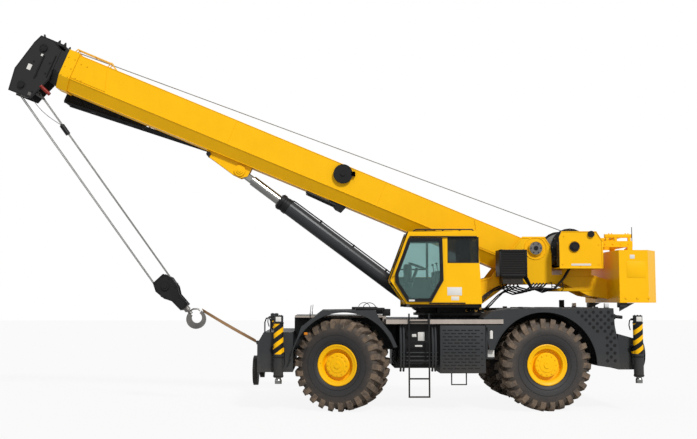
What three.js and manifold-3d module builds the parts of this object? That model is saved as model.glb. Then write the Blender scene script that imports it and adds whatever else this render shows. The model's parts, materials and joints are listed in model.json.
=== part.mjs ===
// Rough-terrain mobile crane: a two-axle carrier with four outriggers, and a slewing upper works
// with a cab, a counterweight and a four-section telescopic boom. Millimetres, +Z up.
// Pieces are laid out about the slew axis on the ground, with +X forward and +Y to the left,
// and the whole crane is then moved so that its bounding box is centred on X = 0.
import * as THREE from "three";
import { mergeVertices } from "three/addons/utils/BufferGeometryUtils.js";
import Module from "manifold-3d";

const wasm = await Module();
wasm.setup();

// ---- fits ----
const touch = 0.3; // gap between faces that rest on each other
const run = 0.3; // running gap of pins, slides and wear pads
const pinSides = 24; // facets of pins and of the holes that they turn in
const clear = 8; // free space round a moving piece
const sheet = 25; // thickness of fenders, hoods and panels

// ---- carrier ----
const frameHalfWidth = 450;
const frameBottom = 1200;
const frameTop = 1770;
const bellyBottom = 800;
const bodyHalfWidth = 1600;
const deckTop = 1860;
const deckRear = -800;
const deckFront = 1600;
const bowDeckTop = 1930;
const engineHalfWidth = 330;
const engineRear = -2900;
const engineFront = -1200;
const engineTop = 1990;
const wallInner = 950; // inboard side of the fenders
const wheelbaseFront = 2460; // front axle ahead of the slew axis
const wheelbaseRear = -1640;

// ---- wheels ----
const hubHeight = 935;
const tyreRadius = 935;
const tyreWidth = 750;
const tyreOffset = 80; // tyre centre outboard of the kingpin
const kingpinY = 1210;
const rimRadius = 360;
const flangeRadius = 422;
const barrelInner = 335;
const archRadius = 1075;
const steerFront = -20; // degrees at which the front wheels stand
const steerRear = 6;

// ---- outriggers ----
const beamWidth = 220;
const beamHeight = 350;
const beamBottom = 930;
const beamInnerEnd = -1350;
const beamWall = 20;
const jackY = 1545;
const jackRadius = 95;
const jackBore = 62;
const ramRadius = 55;
const jackTop = 1940;
const jackBottom = 690;
const ramBottom = 565;
const boxHalfWidth = 1430;
const frontBoxRear = 3500;
const frontBoxFront = 4230;
const rearBoxFront = -3200;
const rearBoxRear = -3710;
const frontLeftBeamX = 3790;
const frontRightBeamX = 4040;
const rearLeftBeamX = -3580;
const rearRightBeamX = -3330;
const floatRadius = 305;

// ---- upper works ----
const ringRadius = 780;
const ringTop = 1930;
const plateInner = 440; // inner face of the turntable's side plates
const plateThick = 30;
const tableTop = 1985;
const cabInner = 500;
const cabOuter = 1420;
const cabWall = 40;
const doorThick = 35;
const weightHalfWidth = 1330;
const weightFront = -3290;
const weightBottom = 2200;
const weightTop = 3300;
const drumX = -2470;
const drumZ = 3390;
const drumRadius = 340;
const drumHalf = 530;
const drumFlange = 420;
const hoistPanelY = 900;

// ---- boom ----
const pivotX = -1730;
const pivotZ = 3380;
const luffRest = 22.5; // degrees above level
const luffLow = -3;
const boomTop = 110; // faces measured from the pivot, square to the boom
const boomBottom = -710;
const boomHalfWidth = 350;
const chamferHeight = 250;
const chamferWidth = 150;
const boomWall = 14;
const nestStep = 40; // each section is this much smaller all round
const baseFront = 11100;
const collarLength = 85;
const collarGap = 6;
const collarProud = 32;
const headLength = 860;
const sheaveRadius = 200;
const shaftRadius = 60; // hoist drum shaft
const footPinRadius = 90;
const footPinDisc = 136;
const basePinRadius = 80;
const sheavePin = 45;

// ---- lift cylinder ----
const liftBaseX = 800;
const liftBaseZ = 2170;
const rodEyeAlong = 6640;
const rodEyeBelow = -875;
const barrelRadius = 165;
const barrelBore = 135;
const barrelLength = 3820;
const rodRadius = 110;
const eyeRadius = 130;
const eyeHalf = 90;

// ---- hook ----
const shankRadius = 42;
const ropeRestLength = 5479; // lower sheave axis to hook block centre
const ropeRestAngle = 35.9; // degrees aft of hanging straight down

// ---------------------------------------------------------------- shape tools
const rad = THREE.MathUtils.degToRad;

function toSolid(geometry) {
  const bare = geometry.clone();
  bare.deleteAttribute("normal");
  bare.deleteAttribute("uv");
  const merged = mergeVertices(bare, 1e-3);
  const index = merged.index.array;
  const kept = [];
  for (let i = 0; i < index.length; i += 3) {
    const [a, b, c] = [index[i], index[i + 1], index[i + 2]];
    if (a !== b && b !== c && c !== a) kept.push(a, b, c);
  }
  const positions = new Float32Array(merged.attributes.position.array);
  const mesh = new wasm.Mesh({
    numProp: 3,
    vertProperties: positions,
    triVerts: new Uint32Array(kept),
  });
  return new wasm.Manifold(mesh);
}

function box(x0, x1, y0, y1, z0, z1) {
  const geometry = new THREE.BoxGeometry(x1 - x0, y1 - y0, z1 - z0);
  geometry.translate((x0 + x1) / 2, (y0 + y1) / 2, (z0 + z1) / 2);
  return toSolid(geometry);
}

function outline(points) {
  const ordered = points.map(([a, b]) => new THREE.Vector2(a, b));
  if (THREE.ShapeUtils.isClockWise(ordered)) ordered.reverse();
  return new THREE.Shape(ordered);
}

// An outline in X and Z, between two values of Y.
function prismY(points, y0, y1) {
  const geometry = new THREE.ExtrudeGeometry(outline(points), { depth: y1 - y0, bevelEnabled: false });
  geometry.rotateX(Math.PI / 2);
  geometry.translate(0, y1, 0);
  return toSolid(geometry);
}

// An outline in Y and Z, between two values of X.
function prismX(points, x0, x1) {
  const geometry = new THREE.ExtrudeGeometry(outline(points), { depth: x1 - x0, bevelEnabled: false });
  const turn = new THREE.Matrix4().makeBasis(
    new THREE.Vector3(0, 1, 0),
    new THREE.Vector3(0, 0, 1),
    new THREE.Vector3(1, 0, 0),
  );
  geometry.applyMatrix4(turn);
  geometry.translate(x0, 0, 0);
  return toSolid(geometry);
}

// An outline in X and Y, between two values of Z.
function prismZ(points, z0, z1) {
  const geometry = new THREE.ExtrudeGeometry(outline(points), { depth: z1 - z0, bevelEnabled: false });
  geometry.translate(0, 0, z0);
  return toSolid(geometry);
}

function rodY(x, z, radius, y0, y1, sides = 16) {
  const geometry = new THREE.CylinderGeometry(radius, radius, y1 - y0, sides);
  geometry.translate(x, (y0 + y1) / 2, z);
  return toSolid(geometry);
}

function rodX(y, z, radius, x0, x1, sides = 16) {
  const geometry = new THREE.CylinderGeometry(radius, radius, x1 - x0, sides);
  geometry.rotateZ(-Math.PI / 2);
  geometry.translate((x0 + x1) / 2, y, z);
  return toSolid(geometry);
}

function rodZ(x, y, radius, z0, z1, sides = 16) {
  const geometry = new THREE.CylinderGeometry(radius, radius, z1 - z0, sides);
  geometry.rotateX(Math.PI / 2);
  geometry.translate(x, y, (z0 + z1) / 2);
  return toSolid(geometry);
}

// The radius of a hole whose flats stay outside a round piece that turns in it.
function holeRadius(radius) {
  return (radius + run) / Math.cos(Math.PI / pinSides);
}

function join(...solids) {
  return solids.reduce((whole, next) => whole.add(next));
}

function cut(solid, ...tools) {
  return tools.reduce((left, tool) => left.subtract(tool), solid);
}

// A straight bar of square or round section between two points.
function strut(from, to, radius, sides = 4) {
  const a = new THREE.Vector3(...from);
  const b = new THREE.Vector3(...to);
  const geometry = new THREE.CylinderGeometry(radius, radius, a.distanceTo(b), sides);
  const along = b.clone().sub(a).normalize();
  const turn = new THREE.Quaternion().setFromUnitVectors(new THREE.Vector3(0, 1, 0), along);
  geometry.applyQuaternion(turn);
  geometry.translate((a.x + b.x) / 2, (a.y + b.y) / 2, (a.z + b.z) / 2);
  return toSolid(geometry);
}

// A convex or nearly convex outline moved inwards by a distance.
function inset(points, distance) {
  const shape = points.map(([a, b]) => new THREE.Vector2(a, b));
  if (THREE.ShapeUtils.isClockWise(shape)) shape.reverse();
  const count = shape.length;
  return shape.map((point, i) => {
    const before = point.clone().sub(shape[(i + count - 1) % count]).normalize();
    const after = shape[(i + 1) % count].clone().sub(point).normalize();
    const inBefore = new THREE.Vector2(-before.y, before.x);
    const inAfter = new THREE.Vector2(-after.y, after.x);
    const middle = inBefore.clone().add(inAfter);
    const scale = (2 * distance) / middle.lengthSq();
    return [point.x + middle.x * scale, point.y + middle.y * scale];
  });
}

function lathe(profile, segments) {
  return toSolid(new THREE.LatheGeometry(profile.map(([r, y]) => new THREE.Vector2(r, y)), segments));
}

function finish(color, roughness, metalness) {
  return new THREE.MeshStandardMaterial({ color, roughness, metalness });
}

const yellow = finish(0xe0a81c, 0.45, 0.1);
const carrierGrey = finish(0x3c3f42, 0.6, 0.2);
const deckGrey = finish(0x8d9296, 0.7, 0.1);
const blackPaint = finish(0x1b1c1e, 0.55, 0.2);
const tyreBlack = finish(0x222324, 0.9, 0);
const steel = finish(0x9a9da0, 0.35, 0.9);
const chrome = finish(0xc8cacc, 0.15, 1);
const seatCloth = finish(0x26282b, 0.9, 0);

const model = new THREE.Group();

function place(name, solid, material, parent = model) {
  const made = solid.getMesh();
  const geometry = new THREE.BufferGeometry();
  geometry.setAttribute("position", new THREE.BufferAttribute(made.vertProperties, 3));
  geometry.setIndex(new THREE.BufferAttribute(made.triVerts, 1));
  geometry.computeVertexNormals();
  const mesh = new THREE.Mesh(geometry, material);
  mesh.name = name;
  parent.add(mesh);
}

// ---------------------------------------------------------------- carrier frame and decks
function carrierFrame() {
  const span = (x0, x1, half, z0, z1) => box(x0, x1, -half, half, z0, z1);
  const bowEnd = frontBoxRear - touch;
  const spine = span(rearBoxFront + touch, bowEnd, frameHalfWidth, frameBottom, frameTop);
  const belly = span(-450, 1350, frameHalfWidth, bellyBottom, frameBottom + 10);
  const bow = span(deckFront + 40, bowEnd, frameHalfWidth, frameTop - 10, bowDeckTop - 40);
  const engineBay = span(
    engineRear - 50, engineFront + 50, engineHalfWidth + 20, frameBottom - 10, frameTop + 10,
  );
  return cut(join(spine, belly, bow), engineBay);
}

function engineBlock() {
  const slab = (half, z0, z1) => box(engineRear, engineFront, -half, half, z0, z1);
  const lower = slab(engineHalfWidth, frameBottom + 40, frameTop + touch + 10);
  const upper = slab(engineHalfWidth + 90, frameTop + touch, engineTop);
  return lower.add(upper);
}

function carrierDeck() {
  const middle = box(deckRear, deckFront, -bodyHalfWidth, bodyHalfWidth, frameTop + touch, deckTop);
  const bowHalf = wallInner - touch;
  const riser = box(deckFront - 40, deckFront + 30, -bowHalf, bowHalf, frameTop + touch, bowDeckTop);
  const bow = box(deckFront, 3480, -bowHalf, bowHalf, bowDeckTop - 40 + touch, bowDeckTop);
  return join(middle, riser, bow);
}

const frontFenderOutline = [
  [3560, 1060], [3330, 1710], [2900, 2040], [1820, 2050], [1730, 1870], [1490, 1570], [1370, 1300],
];
const rearFenderOutline = [
  [-3190, 850], [-3145, 1430], [-3090, 1730], [-3070, 2090], [-910, 2075], [-545, 2020],
  [-390, 1890], [-435, 1790], [-450, 1600], [-500, 1250],
];

// A hollow fender: the outline's walls, with the wheel arch cut through the lot.
function fender(points, axleX, innerWall) {
  const skin = prismY(points, innerWall, bodyHalfWidth);
  const hollow = prismY(inset(points, sheet), innerWall + sheet, bodyHalfWidth - sheet);
  const arch = rodY(axleX, hubHeight, archRadius, innerWall - 50, bodyHalfWidth + 50, 40);
  return cut(skin, hollow, arch);
}

function frontFender() {
  // room for the deck's edge behind it and for the outrigger housing ahead of it
  const overDeck = box(0, deckFront + touch, 0, bodyHalfWidth + 50, frameTop - 10, deckTop + touch);
  const overBox = box(frontBoxRear - touch, frontBoxFront, 0, boxHalfWidth + touch, 700, 1600 + touch);
  return cut(fender(frontFenderOutline, wheelbaseFront, wallInner), overDeck, overBox);
}

const hoodFront = -1100; // front end of the hood between the rear fenders

// One moulding: both rear fenders and the hood between them, open underneath.
function rearHood() {
  const left = fender(rearFenderOutline, wheelbaseRear, wallInner);
  const right = left.mirror([0, 1, 0]);
  const [rear, front, rearTop, frontTop] = [-3070, hoodFront, 2090, 2076];
  const shell = prismY(
    [[rear + 20, 1300], [rear, rearTop], [front, frontTop], [front, 1300]],
    -wallInner - 10, wallInner + 10,
  );
  const below = prismY(
    [
      [rear + 20 + sheet, 1250], [rear + sheet, rearTop - sheet], [front - sheet, frontTop - sheet],
      [front - sheet, 1250],
    ],
    -wallInner + sheet, wallInner - sheet,
  );
  const axleRoom = rodY(wheelbaseRear, hubHeight, archRadius, -wallInner - 60, wallInner + 60, 40);
  const frameRoom = box(-3300, 0, -frameHalfWidth - touch, frameHalfWidth + touch, 1100, frameTop + touch);
  const deckRoom = box(deckRear - touch, 0, -2000, 2000, frameTop - 20, deckTop + touch);
  return cut(join(left, right, shell.subtract(below).subtract(axleRoom)), frameRoom, deckRoom);
}

function sideLocker() {
  return box(-430, 500, frameHalfWidth + touch, bodyHalfWidth, bellyBottom - 30, frameTop - 30);
}

function hydraulicTank() {
  const body = box(500 + touch, 1320, frameHalfWidth + touch, 1450, 950, frameTop - touch);
  const filler = box(1100, 1200, 1440, 1490, 1500, 1600);
  return body.add(filler);
}

function fuelTank() {
  const body = box(-430, 1320, -bodyHalfWidth, -frameHalfWidth - touch, bellyBottom - 30, frameTop - touch);
  const step = box(500, 1330, -bodyHalfWidth - 10, -1300, 1300, frameTop + 10);
  return body.subtract(step);
}

function ladder() {
  const [front, rear, rail, foot, head] = [1150, 710, 30, 285, 1980];
  const inner = bodyHalfWidth + touch;
  const outer = inner + 42;
  const rails = join(
    box(rear, rear + rail, inner, outer, foot, head),
    box(front - rail, front, inner, outer, foot, head),
  );
  const rungHeights = [foot, 650, 1000, 1400, 1800];
  const rungs = rungHeights.map((z) => box(rear + 5, front - 5, inner + 4, outer - 4, z, z + rail));
  return join(rails, ...rungs);
}

// ---------------------------------------------------------------- outriggers
// A transverse housing with two tunnels: the left beam leaves at +Y and the right beam at -Y.
function outriggerBox(points, leftX, rightX) {
  const housing = prismY(points, -boxHalfWidth, boxHalfWidth);
  const tunnel = (x, y0, y1) => box(
    x - beamWidth / 2 - clear, x + beamWidth / 2 + clear, y0, y1,
    beamBottom - run, beamBottom + beamHeight + clear,
  );
  return cut(
    housing,
    tunnel(leftX, beamInnerEnd - 30, boxHalfWidth + 10),
    tunnel(rightX, -boxHalfWidth - 10, -beamInnerEnd + 30),
  );
}

function frontOutriggerBox() {
  const side = [
    [frontBoxRear, 790], [frontBoxFront, 790], [frontBoxFront, 1370], [frontBoxFront - 130, 1600],
    [frontBoxRear, 1600],
  ];
  const lug = box(frontBoxFront - 10, frontBoxFront + 120, -40, 40, 1290, 1370);
  const eye = rodZ(frontBoxFront + 75, 0, 25, 1280, 1380, 12);
  const towFace = box(frontBoxFront - 10, frontBoxFront + 60, -350, 350, 1120, 1240);
  return join(outriggerBox(side, frontLeftBeamX, frontRightBeamX), lug.subtract(eye), towFace);
}

function rearOutriggerBox() {
  const side = [
    [rearBoxRear, 830], [rearBoxFront, 830], [rearBoxFront, 1560], [rearBoxRear, 1420],
  ];
  return outriggerBox(side, rearLeftBeamX, rearRightBeamX);
}

// The left beam with its jack housing, about X = 0; the right one is its mirror image.
function outriggerBeam() {
  const half = beamWidth / 2;
  const beamTop = beamBottom + beamHeight;
  const beam = box(-half, half, beamInnerEnd, jackY, beamBottom, beamTop);
  const hollow = box(
    -half + beamWall, half - beamWall, beamInnerEnd - 10, 1300, beamBottom + beamWall, beamTop - beamWall,
  );
  const housing = rodZ(0, jackY, jackRadius, jackBottom, jackTop, 16);
  const bore = rodZ(0, jackY, jackBore + run, jackBottom - 10, jackTop - 140);
  return cut(join(beam.subtract(hollow), housing), bore);
}

// The ram of a jack: a guide ring that fits the bore, the ram itself and its foot.
function jackRam() {
  const ram = rodZ(0, jackY, ramRadius, ramBottom + 40, jackTop - 160);
  const guide = rodZ(0, jackY, jackBore, jackTop - 220, jackTop - 160);
  const foot = rodZ(0, jackY, ramRadius + 15, ramBottom, ramBottom + 60);
  return join(ram, guide, foot);
}

// Two round floats hung on the end face of an outrigger box, on one hanger bar.
function floatPair(faceX, outward, z) {
  const [thick, proud, reach] = [95, 25, 1000];
  const x0 = outward > 0 ? faceX + touch : faceX - touch - thick;
  const hubStart = outward > 0 ? x0 : x0 - proud;
  const hubEnd = hubStart + thick + proud;
  const discs = [-1, 1].map((side) => rodX(side * reach, z, floatRadius, x0, x0 + thick, 20));
  const hubs = [-1, 1].map((side) => rodX(side * reach, z, 90, hubStart, hubEnd));
  const hanger = box(x0, x0 + 20, -reach, reach, z + 40, z + 80);
  return join(...discs, ...hubs, hanger);
}

// ---------------------------------------------------------------- axles and wheels
const wheelFacets = 24; // shared, so that tyre and rim fit facet to facet
const forkInner = 205; // half the height between the fork's arms
const forkOuter = 255;

function axle() {
  const tube = rodY(0, hubHeight, 110, -kingpinY + 340, kingpinY - 340, 16);
  const casing = toSolid(new THREE.SphereGeometry(215, 12, 6).translate(0, 0, hubHeight));
  const seats = [-1, 1].map((side) => {
    const y0 = side * 350 - 70;
    return box(-90, 90, y0, y0 + 140, hubHeight, frameBottom - touch);
  });
  const forks = [-1, 1].map((side) => fork(side));
  return join(tube, casing, ...seats, ...forks);
}

function fork(side) {
  const y = (a, b) => [Math.min(side * a, side * b), Math.max(side * a, side * b)];
  const arm = (near, far, z0, z1) => box(-70, 70, ...y(near, far), hubHeight + z0, hubHeight + z1);
  const root = arm(kingpinY - 360, kingpinY - 280, -forkOuter, forkOuter);
  const upper = arm(kingpinY - 300, kingpinY + 60, forkInner, forkOuter);
  const lower = arm(kingpinY - 300, kingpinY + 60, -forkOuter, -forkInner);
  return join(root, upper, lower);
}

// Wheel pieces are made for a left wheel about its kingpin, with the hub axis along Y at Z = 0.
function knuckle() {
  const post = rodZ(0, 0, 75, -forkInner + run, forkInner - run);
  const spindle = rodY(0, 0, 150, -20, tyreOffset + 140 - run, 16);
  return post.add(spindle);
}

const rimProfile = [
  [0, 140], [barrelInner, 160], [barrelInner, -330], [flangeRadius, -330], [flangeRadius, -300 - touch],
  [rimRadius, -300 - touch], [rimRadius, 300 + touch], [flangeRadius, 300 + touch], [flangeRadius, 330],
  [325, 325], [315, 200], [262, 205], [250, 300], [0, 318],
];
const tyreProfile = [
  [rimRadius + touch, -300], [flangeRadius, -300], [580, -370], [740, -tyreWidth / 2], [880, -335],
  [tyreRadius, -250], [tyreRadius, 250], [880, 335], [740, tyreWidth / 2], [580, 370],
  [flangeRadius, 300], [rimRadius + touch, 300], [rimRadius + touch, -300],
];

function placeWheel(name, axleX, side, steer) {
  const corner = new THREE.Group();
  corner.position.set(axleX, side * kingpinY, hubHeight);
  corner.rotation.z = rad(steer) + (side > 0 ? 0 : Math.PI);
  model.add(corner);
  const wheel = new THREE.Group();
  wheel.position.y = tyreOffset;
  corner.add(wheel);
  place(`knuckle_${name}`, knuckle(), carrierGrey, corner);
  place(`rim_${name}`, lathe(rimProfile, wheelFacets), yellow, wheel);
  place(`tyre_${name}`, lathe(tyreProfile, wheelFacets), tyreBlack, wheel);
}

// ---------------------------------------------------------------- upper works
function slewRing() {
  const outer = rodZ(0, 0, ringRadius, deckTop + touch, ringTop, 32);
  const inner = rodZ(0, 0, ringRadius - 120, deckTop, ringTop + 10, 32);
  return outer.subtract(inner);
}

// Ahead of the table, the plates rise clear of the engine hood, over which they slew.
const noseBottom = 2105;
const cabFloor = 2175;
const cabArmEnd = cabOuter - 60;
const sidePlateOutline = [
  [760, tableTop - 10], [880, noseBottom], [1150, noseBottom], [1150, 2330], [400, 2450], [-750, 2760],
  [-1445, 3635], [-1930, 3635], [-2070, 3420], [-2070, 2800], [-2960, 2800], [weightFront + touch, 2700],
  [weightFront + touch, 2280], [-2870, 2350], [-2350, 2610], [-1120, 2600], [-1030, 2520], [-540, 2170],
  [-540, tableTop - 10],
];

function turntableFrame() {
  const plates = [-1, 1].map((side) => {
    const y0 = side > 0 ? plateInner : -plateInner - plateThick;
    return prismY(sidePlateOutline, y0, y0 + plateThick);
  });
  const table = rodZ(0, 0, 900, ringTop + touch, tableTop, 28);
  const rearCross = box(-2550, -2250, -plateInner - 10, plateInner + 10, 2630, 2800);
  const rearFloor = box(-3285, -2960, -plateInner - 10, plateInner + 10, 2330, 2700);
  const cabArms = box(-350, 1100, plateInner + 10, cabArmEnd, noseBottom, cabFloor - touch);
  const cabPost = box(-150, 450, plateInner + 10, 720, tableTop - 5, cabFloor - touch);
  const bosses = [-1, 1].map((side) => {
    const y0 = side > 0 ? plateInner : -bossEnd;
    return rodY(pivotX, pivotZ, 150, y0, y0 + bossEnd - plateInner);
  });
  const liftBosses = [-1, 1].map((side) => {
    const inner = side > 0 ? barrelRadius + 20 : -plateInner - 10;
    return rodY(liftBaseX, liftBaseZ, 130, inner, inner + plateInner + 10 - barrelRadius - 20);
  });
  const pinHoles = [
    rodY(pivotX, pivotZ, holeRadius(footPinRadius), -700, 700, pinSides),
    rodY(liftBaseX, liftBaseZ, holeRadius(basePinRadius), -700, 700, pinSides),
  ];
  const frame = join(...plates, table, rearCross, rearFloor, cabArms, cabPost);
  return cut(join(frame, ...bosses, ...liftBosses), ...pinHoles);
}

const bossEnd = plateInner + 70;

// The boom foot pin, with a round keeper plate at each end.
function footPin() {
  const end = bossEnd + run + 25;
  const bar = rodY(0, 0, footPinRadius, -end, end, pinSides);
  const plates = [-1, 1].map((side) => {
    const y0 = side > 0 ? bossEnd + run : -end;
    return rodY(0, 0, footPinDisc, y0, y0 + 25, pinSides);
  });
  return join(bar, ...plates);
}

function liftBasePin() {
  return rodY(0, 0, basePinRadius, -plateInner - 40, plateInner + 40, pinSides);
}

const cabOutline = [
  [1120, 3670], [-320, 3690], [-400, 2175], [1170, 2175], [1500, 2660],
];
const doorOutline = [
  [1120, 3540], [420, 3540], [400, 2660], [650, 2220], [1150, 2215], [1400, 2620], [1400, 2800],
];

function cabShell() {
  const shell = cut(
    prismY(cabOutline, cabInner, cabOuter),
    prismY(inset(cabOutline, cabWall), cabInner + cabWall, cabOuter - cabWall),
  );
  const doorway = prismY(inset(doorOutline, 45), cabOuter - 60, cabOuter + 20);
  const sideWindow = box(-330, 300, cabOuter - 60, cabOuter + 20, 3030, 3550);
  const farWindow = prismY(
    [[1040, 3560], [-240, 3560], [-270, 2900], [500, 2750], [1320, 2750]], cabInner - 20, cabInner + 60,
  );
  const windscreen = prismY(
    [[1000, 3600], [1300, 3600], [1650, 2700], [1380, 2700]], cabInner + 60, cabOuter - 60,
  );
  const lowerScreen = prismY(
    [[1340, 2620], [1600, 2620], [1340, 2260], [1120, 2260]], cabInner + 60, cabOuter - 60,
  );
  const roofWindow = box(250, 900, cabInner + 120, cabOuter - 120, 3580, 3750);
  const rearWindow = box(-450, -250, cabInner + 90, cabOuter - 90, 2950, 3550);
  return cut(shell, doorway, sideWindow, farWindow, windscreen, lowerScreen, roofWindow, rearWindow);
}

function cabDoor() {
  const y0 = cabOuter + clear;
  const leaf = prismY(doorOutline, y0, y0 + doorThick);
  const pane = prismY(inset(doorOutline, 70), y0 - 10, y0 + doorThick + 10);
  const runners = [
    box(700, 760, cabOuter + run, y0 + 2, 2228, 2250),
    box(700, 760, cabOuter + run, y0 + 2, 3500, 3530),
  ];
  return join(leaf.subtract(pane), ...runners);
}

function cabSeat() {
  const y0 = (cabInner + cabOuter) / 2 - 230;
  const floor = 2175 + cabWall + touch;
  const base = box(60, 460, y0 + 60, y0 + 400, floor, 2520);
  const cushion = box(0, 540, y0, y0 + 460, 2500, 2640);
  const back = prismY([[0, 2560], [130, 2600], [20, 3240], [-100, 3240]], y0 + 20, y0 + 440);
  const arms = [y0 - 75, y0 + 465].map((y) => box(40, 520, y, y + 70, 2740, 2860));
  const armPosts = [y0 - 75, y0 + 445].map((y) => box(120, 260, y, y + 90, 2560, 2760));
  return join(base, cushion, back, ...arms, ...armPosts);
}

function oilCooler() {
  const inner = plateInner + plateThick + touch;
  const core = box(-1440, -855, inner, 950, 2760, 3320);
  const shroud = box(-1360, -930, inner, 900, 2600, 2770);
  return core.add(shroud);
}

function counterweight() {
  const plan = [
    [weightFront, -weightHalfWidth], [weightFront, weightHalfWidth], [-3900, weightHalfWidth], [-4200, 900],
    [-4300, 500], [-4300, -500], [-4200, -900], [-3900, -weightHalfWidth],
  ];
  const slab = prismZ(plan, weightBottom, weightTop);
  const notch = box(-4310, -4050, -260, 260, 2600, 2950);
  return slab.subtract(notch);
}

function hoistFrame() {
  const side = [
    [-2150, 2945], [-3070, 2945], [-3070, 3500], [-2940, 3710], [-2200, 3710], [-2150, 3600],
  ];
  const panels = [-1, 1].map((hand) => {
    const y0 = hand > 0 ? hoistPanelY - 30 : -hoistPanelY;
    return prismY(side, y0, y0 + 30);
  });
  const floor = box(-3070, -2150, -hoistPanelY, hoistPanelY, 2925, 2955);
  const feet = box(-2950, -2300, -plateInner - plateThick, plateInner + plateThick, 2800 + touch, 2930);
  const back = box(-3070, -3040, -hoistPanelY, hoistPanelY, 2945, 3480);
  const arms = [-1, 1].map((hand) => box(-3800, -3045, hand * 620 - 50, hand * 620 + 50, 3400, 3530));
  const tie = rodY(-3740, 3465, 60, -620, 620, 16);
  const legs = [-1, 1].map((hand) => {
    const y0 = hand * 620 - 50;
    return box(-3790, -3690, y0, y0 + 100, weightTop + touch, 3420);
  });
  const shaftHole = rodY(drumX, drumZ, holeRadius(shaftRadius), -1000, 1000, pinSides);
  return cut(join(...panels, floor, feet, back, ...arms, tie, ...legs), shaftHole);
}

function hoistDrum() {
  const core = rodY(drumX, drumZ, drumRadius, -drumHalf + 20, drumHalf - 20, 24);
  const flanges = [-1, 1].map((side) => rodY(
    drumX, drumZ, drumFlange, side > 0 ? drumHalf - 30 : -drumHalf, side > 0 ? drumHalf : -drumHalf + 30, 24,
  ));
  const shaft = rodY(drumX, drumZ, shaftRadius, -hoistPanelY + 5, hoistPanelY - 5, pinSides);
  return join(core, ...flanges, shaft);
}

// ---------------------------------------------------------------- boom, in its own frame
// X runs along the boom from the pivot, and Z is square to it.
function boomSection(order) {
  const half = boomHalfWidth - order * nestStep;
  const top = boomTop - order * nestStep;
  const bottom = boomBottom + order * nestStep;
  return [
    [half, top], [-half, top], [-half, bottom + chamferHeight], [-half + chamferWidth, bottom],
    [half - chamferWidth, bottom], [half, bottom + chamferHeight],
  ];
}

function tube(order, start, end) {
  const outer = prismX(boomSection(order), start, end);
  const inner = prismX(inset(boomSection(order), boomWall), start - 10, end + 10);
  return outer.subtract(inner);
}

const gapToNext = nestStep - boomWall;
const sectionStart = [0, 250, 400, 550];

// The collar at a section's front end, and the pad in its floor that the next section slides on.
function collar(order, start, end) {
  const grown = inset(boomSection(order), -collarProud);
  const ring = prismX(grown, start, end);
  const inside = prismX(inset(boomSection(order), boomWall), start - 10, end + 10);
  const floorHalf = boomHalfWidth - order * nestStep - chamferWidth - 40;
  const floorZ = boomBottom + order * nestStep + boomWall;
  const pad = box(end - 200, end, -floorHalf, floorHalf, floorZ - 5, floorZ + gapToNext - run);
  return { ring: ring.subtract(inside), pad };
}

function collarSpan(order) {
  if (order === 0) return [baseFront - 250, baseFront];
  const start = baseFront + collarGap + (order - 1) * (collarLength + collarGap);
  return [start, start + collarLength];
}

const bracketInner = eyeHalf + run;
const bracketOutline = [
  [6420, boomBottom + 5], [7500, boomBottom + 5], [7380, -860], [7240, -890], [6760, -1010],
  [6560, -1020], [6430, -930],
];

function boomBase() {
  const rearCut = prismY([[-320, -720], [120, -720], [-320, -200]], -500, 500);
  const shell = tube(0, -300, baseFront).subtract(rearCut);
  const { ring, pad } = collar(0, ...collarSpan(0));
  const foot = box(-120, 120, -boomHalfWidth, boomHalfWidth, -125, boomTop - 5);
  const boss = rodY(0, 0, 120, -plateInner + clear, plateInner - clear);
  const pinHole = rodY(0, 0, holeRadius(footPinRadius), -700, 700, pinSides);
  const bracketPlates = [-1, 1].map((side) => {
    const y0 = side > 0 ? bracketInner : -bracketInner - 30;
    return prismY(bracketOutline, y0, y0 + 30);
  });
  const bracketBosses = [-1, 1].map((side) => {
    const y0 = side > 0 ? bracketInner + 25 : -bracketInner - 65;
    return rodY(rodEyeAlong, rodEyeBelow, 125, y0, y0 + 40);
  });
  const jibArms = [3100, 9700].map((x) => box(x, x + 120, -jibInner + touch, -boomHalfWidth + 5, -420, -330));
  return cut(join(shell, ring, pad, foot, boss, ...bracketPlates, ...bracketBosses, ...jibArms), pinHole);
}

function boomMiddle(order) {
  const [start, end] = collarSpan(order);
  const { ring, pad } = collar(order, start, end);
  return join(tube(order, sectionStart[order], end - 5), ring, pad);
}

const headStart = collarSpan(2)[1] + collarGap;
const headEnd = headStart + headLength;
const upperSheaveAlong = headStart + 390;
const upperSheaveAbove = -40;
const lowerSheaveAlong = 11800;
const lowerSheaveBelow = -980;

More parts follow.
